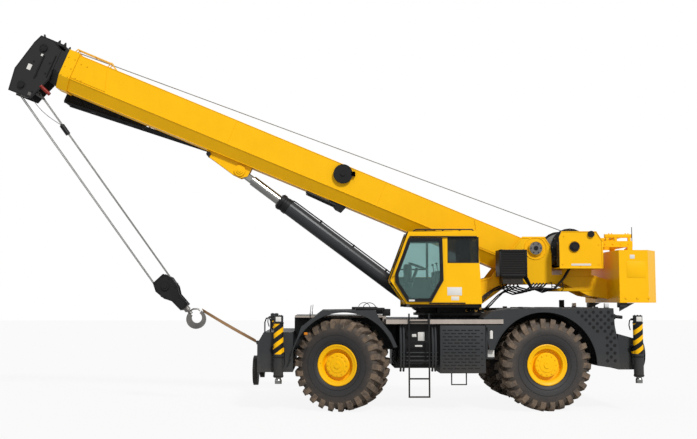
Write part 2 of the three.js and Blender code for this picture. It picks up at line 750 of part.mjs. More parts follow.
function boomFly() {
  const order = 3;
  const section = tube(order, sectionStart[order], headStart + 30);
  const backPlate = prismX(inset(boomSection(1), 0), headStart, headStart + 30);
  const passage = prismX(inset(boomSection(order), boomWall), headStart - 50, headStart + 60);
  const cheekOutline = [
    [headStart, 60], [headStart + 250, 200], [headStart + 560, 200], [headStart + 640, 0],
    [headEnd - 60, -700], [headEnd - 130, -1200], [headStart + 200, -1190], [headStart, -640],
  ];
  const cheeks = [-1, 1].map((side) => {
    const y0 = side > 0 ? 250 : -275;
    return prismY(cheekOutline, y0, y0 + 25);
  });
  const rails = [
    rodY(upperSheaveAlong, upperSheaveAbove, 45, -300, 300, 16),
    rodY(headStart + 120, -1040, 30, -260, 260, 12),
    rodY(headEnd - 180, -600, 30, -260, 260, 12),
  ];
  const sheaves = [-1, 0, 1].map((i) => {
    const y0 = i * 120 - 30;
    return rodY(upperSheaveAlong, upperSheaveAbove, sheaveRadius, y0, y0 + 60, 20);
  });
  const guard = box(headStart, headStart + 560, -265, 265, 150, 200);
  const sheaveRoom = rodY(upperSheaveAlong, upperSheaveAbove, sheaveRadius + 30, -240, 240, 20);
  const pinHole = rodY(lowerSheaveAlong, lowerSheaveBelow, holeRadius(sheavePin), -400, 400, pinSides);
  const frame = join(section, backPlate.subtract(passage), ...cheeks, guard.subtract(sheaveRoom));
  return join(frame, ...rails, ...sheaves).subtract(pinHole);
}

function lowerSheaves() {
  const shaft = rodY(0, 0, sheavePin, -300, 300, pinSides);
  const sheaves = [-1.5, -0.5, 0.5, 1.5].map((i) => rodY(0, 0, sheaveRadius, i * 110 - 32, i * 110 + 32, 20));
  const spacer = rodY(0, 0, 80, -200, 200);
  return join(shaft, spacer, ...sheaves);
}

// The lattice jib stowed along the boom's right side: four chords that taper aft, and its lacing.
const jibInner = 500;
const jibAft = { along: 1900, top: 50, low: -200, width: 300 };
const jibFore = { along: 11050, top: -380, low: -884, width: 480 };
const jibSeatLow = -425;
const chordRadius = 36;
const lacingRadius = 18;

function stowedJib() {
  const bays = 5;
  const inner = -jibInner - chordRadius - 4;
  const between = (share, key) => jibAft[key] + (jibFore[key] - jibAft[key]) * share;
  const frameAt = (k) => {
    const share = k / bays;
    const x = between(share, "along");
    const [top, low] = [between(share, "top"), between(share, "low")];
    const outer = inner - between(share, "width");
    return [[x, inner, top], [x, outer, top], [x, outer, low], [x, inner, low]];
  };
  const chords = [0, 1, 2, 3].map((c) => strut(frameAt(0)[c], frameAt(bays)[c], chordRadius));
  const rings = [];
  for (let k = 0; k <= bays; k += 1) {
    const frame = frameAt(k);
    frame.forEach((corner, c) => rings.push(strut(corner, frame[(c + 1) % 4], lacingRadius)));
  }
  // one diagonal a bay, on the outer side
  const lacing = [];
  for (let k = 0; k < bays; k += 1) {
    lacing.push(strut(frameAt(k)[1], frameAt(k + 1)[2], lacingRadius));
  }
  // a seat plate rests against each of the boom's arms
  const seats = [3100, 9700].map((x) => {
    const share = (x + 60 - jibAft.along) / (jibFore.along - jibAft.along);
    const low = Math.min(between(share, "low"), jibSeatLow);
    return box(x + 10, x + 110, inner, -jibInner, low, Math.max(between(share, "top"), -335));
  });
  return join(...chords, ...rings, ...lacing, ...seats);
}

// ---------------------------------------------------------------- lift cylinder, in its own frame
const lift0 = liftReach(luffRest);
const boreStart = 220;
const pistonThick = 60;
const pistonBack = boreStart + 5 + lift0.length - liftReach(luffLow).length;

// The cylinder's length and angle with the boom at a given angle.
function liftReach(luff) {
  const eye = boomPoint(rodEyeAlong, rodEyeBelow, luff);
  const [dx, dz] = [eye.x - liftBaseX, eye.z - liftBaseZ];
  return { length: Math.hypot(dx, dz), angle: Math.atan2(dz, dx) };
}

// A point of the boom's own frame, in the crane's frame.
function boomPoint(along, above, luff = luffRest) {
  const angle = rad(luff);
  return {
    x: pivotX + along * Math.cos(angle) - above * Math.sin(angle),
    z: pivotZ + along * Math.sin(angle) + above * Math.cos(angle),
  };
}

function liftBarrel() {
  const barrel = rodX(0, 0, barrelRadius, 140, barrelLength, 24);
  const baseEye = rodY(0, 0, 150, -barrelRadius, barrelRadius, 24);
  const neck = box(0, 180, -105, 105, -105, 105);
  const bore = rodX(0, 0, barrelBore, boreStart, barrelLength - 60, 24);
  const rodHole = rodX(0, 0, rodRadius + run, barrelLength - 200, barrelLength + 10, 24);
  const pinHole = rodY(0, 0, holeRadius(basePinRadius), -400, 400, pinSides);
  return cut(join(barrel, baseEye, neck), bore, rodHole, pinHole);
}

function liftPiston() {
  return rodX(0, 0, barrelBore - run, pistonBack, pistonBack + pistonThick - 2 * touch, 24);
}

// The rod narrows to a flat neck and an eye, which sits between the boom's bracket plates.
const neckLength = 350;
const shoulderRadius = 85;
const neckHalf = 60;

function liftRod() {
  const neckStart = lift0.length - neckLength;
  const rod = rodX(0, 0, rodRadius, pistonBack + pistonThick, neckStart, 24);
  const shoulder = rodX(0, 0, shoulderRadius, neckStart - 10, lift0.length - 90, 20);
  const neck = box(
    neckStart + 30, lift0.length - 60, -eyeHalf + 5, eyeHalf - 5, -neckHalf, neckHalf,
  );
  const rodEye = rodY(lift0.length, 0, eyeRadius, -eyeHalf, eyeHalf, 24);
  return join(rod, shoulder, neck, rodEye);
}

// ---------------------------------------------------------------- hook block, in its own frame
const blockTilt = 7.1; // degrees that the sling pulls it out of line with its ropes
const cheekLow = -620;
const crossheadTop = -520;
const bowlRadius = 215;
const throatRadius = 115;
const bowlHeight = -970;

// Its centre is the origin, and the ropes leave along +Z.
function hookBlock() {
  const cheekShape = [
    [-230, 60], [-150, 240], [150, 240], [230, 60], [200, -180], [115, -330], [105, cheekLow],
    [-105, cheekLow], [-115, -330], [-200, -180],
  ];
  const cheeks = [-1, 1].map((side) => {
    const y0 = side > 0 ? 130 : -170;
    return prismY(cheekShape, y0, y0 + 40);
  });
  const shaft = rodY(0, 0, 50, -200, 200);
  const sheaves = [-1, 0, 1].map((i) => rodY(0, 0, 185, i * 80 - 28, i * 80 + 28, 20));
  const crosshead = box(-90, 90, -140, 140, cheekLow, crossheadTop);
  const hole = rodZ(0, 0, holeRadius(shankRadius), cheekLow - 10, crossheadTop + 10, pinSides);
  return join(...cheeks, shaft, ...sheaves, crosshead).subtract(hole);
}

function hook() {
  const bowl = new THREE.Shape();
  bowl.absarc(0, 0, bowlRadius, rad(80), rad(-195), true);
  bowl.absarc(-30, 10, throatRadius, rad(-195), rad(70), false);
  const geometry = new THREE.ExtrudeGeometry(bowl, { depth: 90, bevelEnabled: false, curveSegments: 12 });
  geometry.rotateX(Math.PI / 2);
  geometry.translate(0, 45, bowlHeight);
  const shank = rodZ(0, 0, shankRadius, bowlHeight + 155, crossheadTop + 20, pinSides);
  const nut = rodZ(0, 0, 75, crossheadTop + 1, crossheadTop + 75, 6);
  const shoulder = rodZ(0, 0, 70, cheekLow - 90, cheekLow - run, 16);
  return join(toSolid(geometry), shank, nut, shoulder);
}

// ---------------------------------------------------------------- assembly
place("carrier_frame", carrierFrame(), carrierGrey);
place("engine_block", engineBlock(), carrierGrey);
place("carrier_deck", carrierDeck(), deckGrey);
place("front_fender_left", frontFender(), carrierGrey);
place("front_fender_right", frontFender().mirror([0, 1, 0]), carrierGrey);
place("rear_hood", rearHood(), carrierGrey);
place("side_locker", sideLocker(), deckGrey);
place("hydraulic_tank", hydraulicTank(), blackPaint);
place("fuel_tank", fuelTank(), carrierGrey);
place("ladder", ladder(), carrierGrey);
place("front_outrigger_box", frontOutriggerBox(), carrierGrey);
place("rear_outrigger_box", rearOutriggerBox(), carrierGrey);
place("floats_front", floatPair(frontBoxFront, 1, 800), blackPaint);
place("floats_rear", floatPair(rearBoxRear, -1, 1130), blackPaint);

const corners = [
  ["front_left", wheelbaseFront, 1, steerFront, frontLeftBeamX],
  ["front_right", wheelbaseFront, -1, steerFront, frontRightBeamX],
  ["rear_left", wheelbaseRear, 1, steerRear, rearLeftBeamX],
  ["rear_right", wheelbaseRear, -1, steerRear, rearRightBeamX],
];
for (const [name, axleX, side, steer, beamX] of corners) {
  placeWheel(name, axleX, side, steer);
  const outrigger = new THREE.Group();
  outrigger.position.x = beamX;
  model.add(outrigger);
  const handed = (solid) => (side > 0 ? solid : solid.mirror([0, 1, 0]));
  place(`outrigger_beam_${name}`, handed(outriggerBeam()), carrierGrey, outrigger);
  place(`jack_${name}`, handed(jackRam()), chrome, outrigger);
}
for (const [name, axleX] of [["front_axle", wheelbaseFront], ["rear_axle", wheelbaseRear]]) {
  place(name, axle().translate([axleX, 0, 0]), carrierGrey);
}

place("slew_ring", slewRing(), steel);
place("turntable_frame", turntableFrame(), yellow);
place("cab_shell", cabShell(), yellow);
place("cab_door", cabDoor(), blackPaint);
place("cab_seat", cabSeat(), seatCloth);
place("oil_cooler", oilCooler(), blackPaint);
place("counterweight", counterweight(), yellow);
place("hoist_frame", hoistFrame(), yellow);
place("hoist_drum", hoistDrum(), steel);

const boom = new THREE.Group();
boom.position.set(pivotX, 0, pivotZ);
boom.rotation.y = -rad(luffRest);
model.add(boom);
place("boom_pivot_pin", footPin(), steel, boom);
place("boom_base", boomBase(), yellow, boom);
place("boom_mid_inner", boomMiddle(1), blackPaint, boom);
place("boom_mid_outer", boomMiddle(2), blackPaint, boom);
place("boom_fly", boomFly(), carrierGrey, boom);
place("stowed_jib", stowedJib(), blackPaint, boom);

const lift = new THREE.Group();
lift.position.set(liftBaseX, 0, liftBaseZ);
lift.rotation.y = -lift0.angle;
model.add(lift);
place("lift_base_pin", liftBasePin(), steel, lift);
place("lift_barrel", liftBarrel(), blackPaint, lift);
place("lift_piston", liftPiston(), steel, lift);
place("lift_rod", liftRod(), chrome, lift);

const lowerPoint = boomPoint(lowerSheaveAlong, lowerSheaveBelow);
const ropes = new THREE.Group();
ropes.position.set(lowerPoint.x, 0, lowerPoint.z);
ropes.rotation.y = rad(ropeRestAngle);
model.add(ropes);
place("lower_sheaves", lowerSheaves(), steel, ropes);
const block = new THREE.Group();
block.position.z = -ropeRestLength;
block.rotation.y = rad(blockTilt);
ropes.add(block);
place("hook_block", hookBlock(), blackPaint, block);
place("hook", hook(), blackPaint, block);

const bounds = new THREE.Box3().setFromObject(model, true);
model.position.x = -(bounds.min.x + bounds.max.x) / 2;

const group = new THREE.Group();
group.add(model);

export default group;
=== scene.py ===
"""Rough-terrain mobile crane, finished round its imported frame. Metres, +X forward, +Z up."""
import json
import math

import bmesh
import bpy
from mathutils import Matrix, Vector


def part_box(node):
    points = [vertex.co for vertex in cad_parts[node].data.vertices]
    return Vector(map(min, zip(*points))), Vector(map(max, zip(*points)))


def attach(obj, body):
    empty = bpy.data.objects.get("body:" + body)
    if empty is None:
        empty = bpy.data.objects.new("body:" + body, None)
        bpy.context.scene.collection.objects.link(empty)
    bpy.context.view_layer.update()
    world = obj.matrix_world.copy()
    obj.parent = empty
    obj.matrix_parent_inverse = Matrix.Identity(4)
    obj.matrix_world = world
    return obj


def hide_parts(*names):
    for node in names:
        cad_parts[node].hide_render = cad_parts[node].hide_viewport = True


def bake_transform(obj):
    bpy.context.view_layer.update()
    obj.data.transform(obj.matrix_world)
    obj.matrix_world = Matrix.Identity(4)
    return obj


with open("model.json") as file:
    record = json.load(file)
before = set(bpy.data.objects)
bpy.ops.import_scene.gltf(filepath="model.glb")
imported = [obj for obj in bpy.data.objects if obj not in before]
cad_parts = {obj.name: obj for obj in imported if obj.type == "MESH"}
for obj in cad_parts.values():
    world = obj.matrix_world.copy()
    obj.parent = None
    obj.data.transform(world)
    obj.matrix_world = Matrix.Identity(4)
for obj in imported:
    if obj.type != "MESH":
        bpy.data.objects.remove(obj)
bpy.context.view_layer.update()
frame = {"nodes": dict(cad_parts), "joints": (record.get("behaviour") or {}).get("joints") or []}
joints = {joint["name"]: joint for joint in frame["joints"]}

# ---------------------------------------------------------------- camera, light and floor
# The crane is seen from its left side, from about the height of the deck. Plain white
# surroundings light it evenly, and one large soft lamp gives the sunny side of its panels.
slew_x = joints["slew"]["pos_m"][0]


def at(x, y, z):
    """A place given from the slew axis on the ground."""
    return Vector((slew_x + x, y, z))


camera_data = bpy.data.cameras.new("camera")
camera = bpy.data.objects.new("camera", camera_data)
bpy.context.scene.collection.objects.link(camera)
bpy.context.scene.camera = camera
camera_data.lens = 49.26
camera_data.clip_end = 200
camera.location = at(2.8165, 21.117, 2.2376)
camera.rotation_euler = (math.radians(94.88), 0, math.radians(178.68))


def node(tree, kind, links=(), **values):
    """One shader node; links gives what feeds its inputs, as sockets or plain values."""
    made = tree.nodes.new("ShaderNode" + kind)
    for key, value in values.items():
        setattr(made, key, value)
    for name, source in dict(links).items():
        if isinstance(source, bpy.types.NodeSocket):
            tree.links.new(source, made.inputs[name])
        else:
            made.inputs[name].default_value = source
    return made


def mix(tree, share, under, over):
    """One colour laid over another by a share from 0 to 1."""
    return node(tree, "Mix", {0: share, 6: under, 7: over}, data_type="RGBA").outputs[2]


def new_material(name):
    """A material with an empty node tree."""
    material = bpy.data.materials.new(name)
    material.use_nodes = True
    material.node_tree.nodes.clear()
    return material


def object_place(tree):
    """The shading point in the frame that every object shares."""
    return node(tree, "TexCoord").outputs["Object"]


def shader_of(material):
    return next(n for n in material.node_tree.nodes if n.type == "BSDF_PRINCIPLED")


def cover(material, share, colour):
    """Lays a colour over a material's own by a share from 0 to 1."""
    tree = material.node_tree
    base = shader_of(material).inputs["Base Color"]
    tree.links.new(mix(tree, share, base.links[0].from_socket, colour), base)


world = bpy.data.worlds.new("surroundings")
bpy.context.scene.world = world
world.use_nodes = True
world.node_tree.nodes.clear()
path = node(world.node_tree, "LightPath")
seen = path.outputs["Is Camera Ray"]
for ray in ("Is Glossy Ray", "Is Transmission Ray"):
    seen = node(world.node_tree, "Math", {0: seen, 1: path.outputs[ray]}, operation="MAXIMUM").outputs[0]
strength = node(world.node_tree, "MapRange", {"Value": seen, "To Min": 0.55, "To Max": 1.0})
sky = node(world.node_tree, "Background", {"Color": (1, 1, 1, 1), "Strength": strength.outputs[0]})
node(world.node_tree, "OutputWorld", {"Surface": sky.outputs[0]})

sun_data = bpy.data.lights.new("sun", "SUN")
sun_data.energy = 2.6
sun_data.angle = math.radians(9)
sun = bpy.data.objects.new("sun", sun_data)
sun.rotation_euler = (math.radians(-48), 0, math.radians(24))
bpy.context.scene.collection.objects.link(sun)

floor_material = new_material("pale_floor")
tree = floor_material.node_tree
path = node(tree, "LightPath")
lit = node(tree, "BsdfDiffuse", {"Color": (0.50, 0.50, 0.50, 1)})
glow = node(tree, "Emission", {"Color": (1, 1, 1, 1), "Strength": 1.0})
share = node(tree, "MapRange", {"Value": path.outputs["Is Camera Ray"], "To Min": 0.0, "To Max": 0.90})
both = node(tree, "MixShader", {0: share.outputs[0], 1: lit.outputs[0], 2: glow.outputs[0]})
node(tree, "OutputMaterial", {"Surface": both.outputs[0]})
floor_mesh = bmesh.new()
bmesh.ops.create_grid(floor_mesh, x_segments=1, y_segments=1, size=90)
floor_data = bpy.data.meshes.new("floor")
floor_mesh.to_mesh(floor_data)
floor_mesh.free()
floor_data.materials.append(floor_material)
floor = bpy.data.objects.new("floor", floor_data)
bpy.context.scene.collection.objects.link(floor)

bpy.context.scene.view_settings.view_transform = "Standard"

# ---------------------------------------------------------------- carrier frame and axles
# The welded steel spine of the carrier and its two steering axles, in charcoal enamel that
# collects pale road dust low down. The engine sits between the rear rails.
CHARCOAL = (0.040, 0.042, 0.044)
DUST = (0.30, 0.24, 0.18)


def enamel(name, colour, rough, dust=0.0, dust_top=1.2, metal=0.0, patch=0.85, grain=0.015):
    """Paint with faint patches, a fine orange peel and dust that gathers towards the ground."""
    material = new_material(name)
    tree = material.node_tree
    place = object_place(tree)
    broad = node(tree, "TexNoise", {"Vector": place, "Scale": 1.3, "Detail": 7.0, "Roughness": 0.62})
    fine = node(tree, "TexNoise", {"Vector": place, "Scale": 38.0, "Detail": 4.0})
    streak_map = node(tree, "Mapping", {"Vector": place, "Scale": (9.0, 9.0, 0.7)})
    streak = node(tree, "TexNoise", {"Vector": streak_map.outputs[0], "Scale": 1.0, "Detail": 5.0})
    patches = node(tree, "MapRange", {"Value": broad.outputs["Fac"], "From Min": 0.35, "From Max": 0.7,
                                      "To Min": patch, "To Max": 1.0})
    streaks = node(tree, "MapRange", {"Value": streak.outputs["Fac"], "From Min": 0.3, "From Max": 0.75,
                                      "To Min": 1.0, "To Max": patch + 0.05})
    shade = node(tree, "Math", {0: patches.outputs[0], 1: streaks.outputs[0]}, operation="MULTIPLY")
    tone = node(tree, "VectorMath", {0: colour, "Scale": shade.outputs[0]}, operation="SCALE")
    height = node(tree, "SeparateXYZ", {"Vector": place})
    low = node(tree, "MapRange", {"Value": height.outputs["Z"], "From Min": dust_top, "From Max": 0.0,
                                  "To Min": 0.0, "To Max": dust})
    specks = node(tree, "MapRange", {"Value": fine.outputs["Fac"], "From Min": 0.3, "From Max": 0.7})
    settled = node(tree, "Math", {0: low.outputs[0], 1: specks.outputs[0]}, operation="MULTIPLY")
    mixed = mix(tree, settled.outputs[0], tone.outputs[0], (*DUST, 1))
    wear = node(tree, "MapRange", {"Value": broad.outputs["Fac"], "From Min": 0.3, "From Max": 0.7,
                                   "To Min": rough - 0.06, "To Max": rough + 0.1})
    bump = node(tree, "Bump", {"Height": fine.outputs["Fac"], "Strength": 0.12, "Distance": grain})
    shader = node(tree, "BsdfPrincipled", {"Base Color": mixed, "Metallic": metal, "Specular IOR Level": 0.16,
                                           "Roughness": wear.outputs[0], "Normal": bump.outputs[0]})
    node(tree, "OutputMaterial", {"Surface": shader.outputs[0]})
    return material


def coat_nodes(material, *names):
    """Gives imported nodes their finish."""
    for name in names:
        mesh = frame["nodes"][name].data
        mesh.materials.clear()
        mesh.materials.append(material)


CORNERS = ("front_left", "front_right", "rear_left", "rear_right")
charcoal = enamel("charcoal_enamel", CHARCOAL, 0.5, dust=0.35)
black = enamel("black_enamel", (0.012, 0.012, 0.013), 0.45, dust=0.2)
coat_nodes(charcoal, "carrier_frame", "front_fender_left", "front_fender_right", "rear_hood", "side_locker",
           "fuel_tank", "front_outrigger_box", "rear_outrigger_box", "front_axle", "rear_axle",
           *[f"knuckle_{corner}" for corner in CORNERS])
coat_nodes(black, "ladder", "hydraulic_tank", "floats_front", "floats_rear", "engine_block", "slew_ring")

# ---------------------------------------------------------------- shared shapes


def block(mesh, low, high, bevel=0.0):
    """A box between two corners, its edges broken by a bevel."""
    low, high = Vector(low), Vector(high)
    size = high - low
    place = Matrix.Translation((low + high) / 2) @ Matrix.Diagonal((*size, 1))
    made = bmesh.ops.create_cube(mesh, size=1, matrix=place)
    if bevel:
        edges = list({edge for vert in made["verts"] for edge in vert.link_edges})
        bmesh.ops.bevel(mesh, geom=edges, offset=bevel, segments=2, profile=0.5, affect="EDGES", material=-1)


def bar(mesh, start, end, radius, sides=12, far_radius=None):
    """A round bar from one point to another."""
    start, end = Vector(start), Vector(end)
    reach = end - start
    turn = reach.to_track_quat("Z", "Y").to_matrix().to_4x4()
    bmesh.ops.create_cone(mesh, cap_ends=True, segments=sides, radius1=radius,
                          radius2=radius if far_radius is None else far_radius, depth=reach.length,
                          matrix=Matrix.Translation((start + end) / 2) @ turn)


def pipe(mesh, points, radius, sides=10):
    """A bent tube through a few points, swept round each corner."""
    points = [Vector(point) for point in points]
    ring, first = None, None
    for i, point in enumerate(points):
        before = (point - points[i - 1]).normalized() if i else None
        after = (points[i + 1] - point).normalized() if i + 1 < len(points) else None
        along = ((before or after) + (after or before)).normalized()
        spread = 1 / max(0.5, along.dot(before or after))
        turn = along.to_track_quat("Z", "Y").to_matrix().to_4x4()
        made = bmesh.ops.create_circle(mesh, segments=sides, radius=radius * spread ** 0.5,
                                       matrix=Matrix.Translation(point) @ turn)
        edges = list({edge for vert in made["verts"] for edge in vert.link_edges})
        if ring:
            bmesh.ops.bridge_loops(mesh, edges=ring + edges)
        first = first or edges
        ring = edges
    bmesh.ops.holes_fill(mesh, edges=first + ring, sides=0)


def arc(centre, radius, start, stop, steps, across=Vector((1, 0, 0)), up=Vector((0, 0, 1))):
    """Points on an arc, its angles in degrees."""
    angles = [math.radians(start + (stop - start) * i / steps) for i in range(steps + 1)]
    return [Vector(centre) + across * (radius * math.cos(a)) + up * (radius * math.sin(a)) for a in angles]


def settle(name, mesh, material, body, smooth=35, place=None):
    """Makes the finished object at the origin and lets it ride on a body, if one is named."""
    if place is not None:
        bmesh.ops.transform(mesh, matrix=place, verts=mesh.verts)
    bmesh.ops.recalc_face_normals(mesh, faces=mesh.faces)
    data = bpy.data.meshes.new(name)
    mesh.to_mesh(data)
    mesh.free()
    data.materials.append(material)
    if smooth:
        data.shade_smooth()
        data.set_sharp_from_angle(angle=math.radians(smooth))
    piece = bpy.data.objects.new(name, data)
    bpy.context.scene.collection.objects.link(piece)
    if body:
        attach(piece, body)
    return piece


def tread_plate(name, edge_colour, top_colour):
    """Paint that is pale on upright faces and dark, with raised lozenges, on level ones."""
    material = enamel(name, edge_colour, 0.55, patch=0.8)
    tree = material.node_tree
    place = object_place(tree)
    face = node(tree, "SeparateXYZ", {"Vector": node(tree, "NewGeometry").outputs["Normal"]})
    level = node(tree, "Math", {0: face.outputs["Z"], 1: 0.7}, operation="GREATER_THAN")
    tiles = node(tree, "TexVoronoi", {"Vector": place, "Scale": 26.0}, feature="F1")
    bumps = node(tree, "MapRange", {"Value": tiles.outputs["Distance"], "From Min": 0.1, "From Max": 0.35,
                                    "To Min": 1.0, "To Max": 0.0})
    lozenge = node(tree, "Bump", {"Height": bumps.outputs[0], "Strength": 0.5, "Distance": 0.004})
    cover(material, level.outputs[0], (*top_colour, 1))
    tree.links.new(lozenge.outputs[0], shader_of(material).inputs["Normal"])
    return material


# ---------------------------------------------------------------- walking deck
# Tread plate round the turntable, pale at its folded edge, with a dark non-slip top.
# A small round cap and the grey hoops that guard the tank bay stand at its left side.
coat_nodes(tread_plate("deck_plate", (0.46, 0.40, 0.35), (0.05, 0.05, 0.05)), "carrier_deck")
hoops = bmesh.new()
HOOP_LOW, HOOP_HIGH, HOOP_REACH = 0.86, 1.70, 1.60
for x in (1.27, 0.62):
    for offset in (-0.03, 0.03):
        middle = (HOOP_LOW + HOOP_HIGH) / 2
        bow = [at(x + offset, 1.46, HOOP_HIGH + 0.05)]
        bow += [at(x + offset, HOOP_REACH - 0.10 * ((z - middle) / 0.42) ** 2, z)
                for z in (HOOP_HIGH - 0.84 * i / 8 for i in range(9))]
        bow += [at(x + offset, 1.46, HOOP_LOW - 0.05)]
        pipe(hoops, bow, 0.022)
settle("tank_hoops", hoops, charcoal, "carrier")

# ---------------------------------------------------------------- fenders
# Flat steel fenders with a folded top. The front ones carry a low black box with a wire
# loop and a whip aerial; thin rubber edging follows each wheel arch.
FENDER_Y, FRONT_AXLE_X, REAR_AXLE_X, AXLE_Z = 1.60, 2.46, -1.64, 0.935
fittings = bmesh.new()
wires = bmesh.new()
for side in (1, -1):
    block(fittings, at(1.62, side * 1.38 - 0.10, 2.045), at(2.22, side * 1.38 + 0.10, 2.10), 0.012)
    block(fittings, at(1.50, side * 1.38 - 0.07, 1.93), at(1.66, side * 1.38 + 0.07, 2.075), 0.012)
    loop = arc(at(1.93, side * 1.38, 2.06), 0.14, 0, 180, 12)
    pipe(wires, loop, 0.007, 6)
    bar(wires, at(3.15, side * 1.42, 1.85), at(3.15, side * 1.42, 1.99), 0.011, 8)
    bar(wires, at(3.15, side * 1.42, 1.99), at(3.13, side * 1.42, 2.15), 0.006, 8)
settle("fender_boxes", fittings, black, "carrier")
settle("fender_wires", wires, black, "carrier")

ARCH_RADIUS = 1.075
lips = bmesh.new()
for axle_x, start, stop in ((FRONT_AXLE_X, 8, 160), (REAR_AXLE_X, 22, 180)):
    for side in (1, -1):
        edge = arc(at(axle_x, side * FENDER_Y, AXLE_Z), ARCH_RADIUS + 0.004, start, stop, 36)
        pipe(lips, edge, 0.012, 6)
settle("arch_lips", lips, charcoal, "carrier")

# ---------------------------------------------------------------- side locker and tank bay
# The locker's door is a steel panel punched with rows of slots, drawn as black bars that are
# painted shade of the dark locker behind. Beside it hang a strobe in a red shade, a white
# reservoir and a blank plate; a wire step hangs below the panel.
locker_low, locker_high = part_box("side_locker")
door = bmesh.new()
slots = bmesh.new()
PANEL_Y = locker_high.y + 0.006
block(door, (locker_low.x + 0.01, locker_high.y - 0.01, locker_low.z + 0.01),
      (locker_high.x - 0.01, PANEL_Y, locker_high.z - 0.01), 0.004)
SLOT_ROWS, SLOT_COLUMNS = 13, 6
for row in range(SLOT_ROWS):
    z = locker_low.z + 0.10 + row * (locker_high.z - locker_low.z - 0.20) / (SLOT_ROWS - 1)
    for column in range(SLOT_COLUMNS + row % 2):
        x = locker_low.x + 0.12 + (column - 0.5 * (row % 2)) * 0.138
        wide = 0.105 if 0 < column < SLOT_COLUMNS or row % 2 == 0 else 0.045
        left = max(x, locker_low.x + 0.05)
        right = min(left + wide, locker_high.x - 0.05)
        block(slots, (left, PANEL_Y - 0.004, z - 0.014), (right, PANEL_Y + 0.002, z + 0.014), 0.004)
settle("locker_panel", door, charcoal, "carrier")
settle("locker_slot_shade", slots, black, "carrier")

step = bmesh.new()
stirrup = ((0.27, 0.78), (0.27, 0.545), (-0.03, 0.545), (-0.03, 0.78))
pipe(step, [at(x, 1.59, z) for x, z in stirrup], 0.014, 8)
settle("wire_step", step, black, "carrier")

white_plastic = enamel("white_plastic", (0.72, 0.70, 0.66), 0.4, patch=0.92)
red_plastic = enamel("red_plastic", (0.30, 0.030, 0.020), 0.35, patch=0.8)
bay = bmesh.new()
block(bay, at(-0.47, 1.50, 1.06), at(-0.44, 1.60, 1.70))
block(bay, at(-0.62, 1.48, 1.05), at(-0.44, 1.50, 1.74), 0.005)
settle("bay_bracket", bay, charcoal, "carrier")
bottle = bmesh.new()
for z_low, z_high, radius, sides, neck in ((1.47, 1.62, 0.05, 20, None), (1.62, 1.67, 0.05, 20, 0.022),
                                           (1.67, 1.71, 0.022, 16, None)):
    bar(bottle, at(-0.55, 1.56, z_low), at(-0.55, 1.56, z_high), radius, sides, neck)
block(bottle, at(-0.62, 1.50, 1.09), at(-0.47, 1.51, 1.24), 0.004)
settle("reservoir_and_plate", bottle, white_plastic, "carrier")
lamp = bmesh.new()
block(lamp, at(-0.61, 1.50, 1.29), at(-0.48, 1.57, 1.42), 0.015)
settle("red_lamp", lamp, red_plastic, "carrier")

# behind the ladder: tank straps, a pale data plate with no lettering, pipes and valves
tank_low, tank_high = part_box("hydraulic_tank")
straps = bmesh.new()
for x in (tank_low.x + 0.12, tank_high.x - 0.12):
    block(straps, (x - 0.02, 1.30, tank_low.z - 0.004), (x + 0.02, 1.456, tank_high.z - 0.01), 0.003)
for z in (1.02, 1.10, 1.18):
    bar(straps, (tank_low.x + 0.02, 1.475, z), (tank_high.x - 0.02, 1.475, z), 0.014, 8)
settle("tank_straps", straps, charcoal, "carrier")
plates = bmesh.new()
block(plates, at(0.80, 1.452, 1.42), at(0.94, 1.460, 1.60), 0.003)
block(plates, at(0.97, 1.452, 1.50), at(1.06, 1.458, 1.56), 0.003)
block(plates, at(0.85, 1.452, 1.30), at(1.00, 1.458, 1.335), 0.003)
settle("tank_plates", plates, white_plastic, "carrier")

# ---------------------------------------------------------------- engine hood
# Sheet-steel hood over the engine between the rear fenders. Round holes in a diamond pattern
# let the heat out of its sides; they are drawn as black discs, painted shade of the dark engine
# bay behind them. The top has louvres, and a lamp and a rail stand on it.
HOLE_PITCH, HOLE_RADIUS = 0.155, 0.033
holes = bmesh.new()
hood_panels = (((-3.04, -2.28), (1.62, 2.02)), ((-3.08, -2.86), (1.02, 1.62)))
for side in (1, -1):
    for (x_low, x_high), (z_low, z_high) in hood_panels:
        for row in range(int((z_high - z_low) / (HOLE_PITCH / 2)) + 1):
            for column in range(int((x_high - x_low) / HOLE_PITCH) + 1):
                x = x_low + (column + 0.5 * (row % 2)) * HOLE_PITCH
                z = z_low + row * HOLE_PITCH / 2
                if x <= x_high and math.hypot(x - REAR_AXLE_X, z - AXLE_Z) > 1.16:
                    bar(holes, at(x, side * 1.597, z), at(x, side * 1.603, z), HOLE_RADIUS, 14)
settle("hood_hole_shade", holes, black, "carrier")

louvres = bmesh.new()
for x in (-2.75, -2.15, -1.60):
    for i in range(7):
        y = -0.72 + i * 0.24
        block(louvres, at(x - 0.21, y - 0.035, 2.070), at(x + 0.21, y + 0.035, 2.10), 0.012)
for x in (-2.9, -1.3):
    for side in (1, -1):
        block(louvres, at(x - 0.05, side * 0.90 - 0.02, 2.07), at(x + 0.05, side * 0.90 + 0.02, 2.115), 0.008)
settle("hood_louvres", louvres, charcoal, "carrier")

rail = bmesh.new()
for side in (1, -1):
    bar(rail, at(-3.10, side * 1.45, 1.92), at(-3.29, side * 1.45, 1.90), 0.035, 14)
    block(rail, at(-3.14, side * 1.45 - 0.05, 1.86), at(-3.08, side * 1.45 + 0.05, 1.97), 0.01)
    block(rail, at(-3.06, side * 1.30 - 0.05, 2.085), at(-2.96, side * 1.30 + 0.05, 2.10), 0.004)
bar(rail, at(-2.55, -0.62, 2.08), at(-2.55, -0.62, 2.26), 0.06, 20)
settle("hood_fittings", rail, black, "carrier")

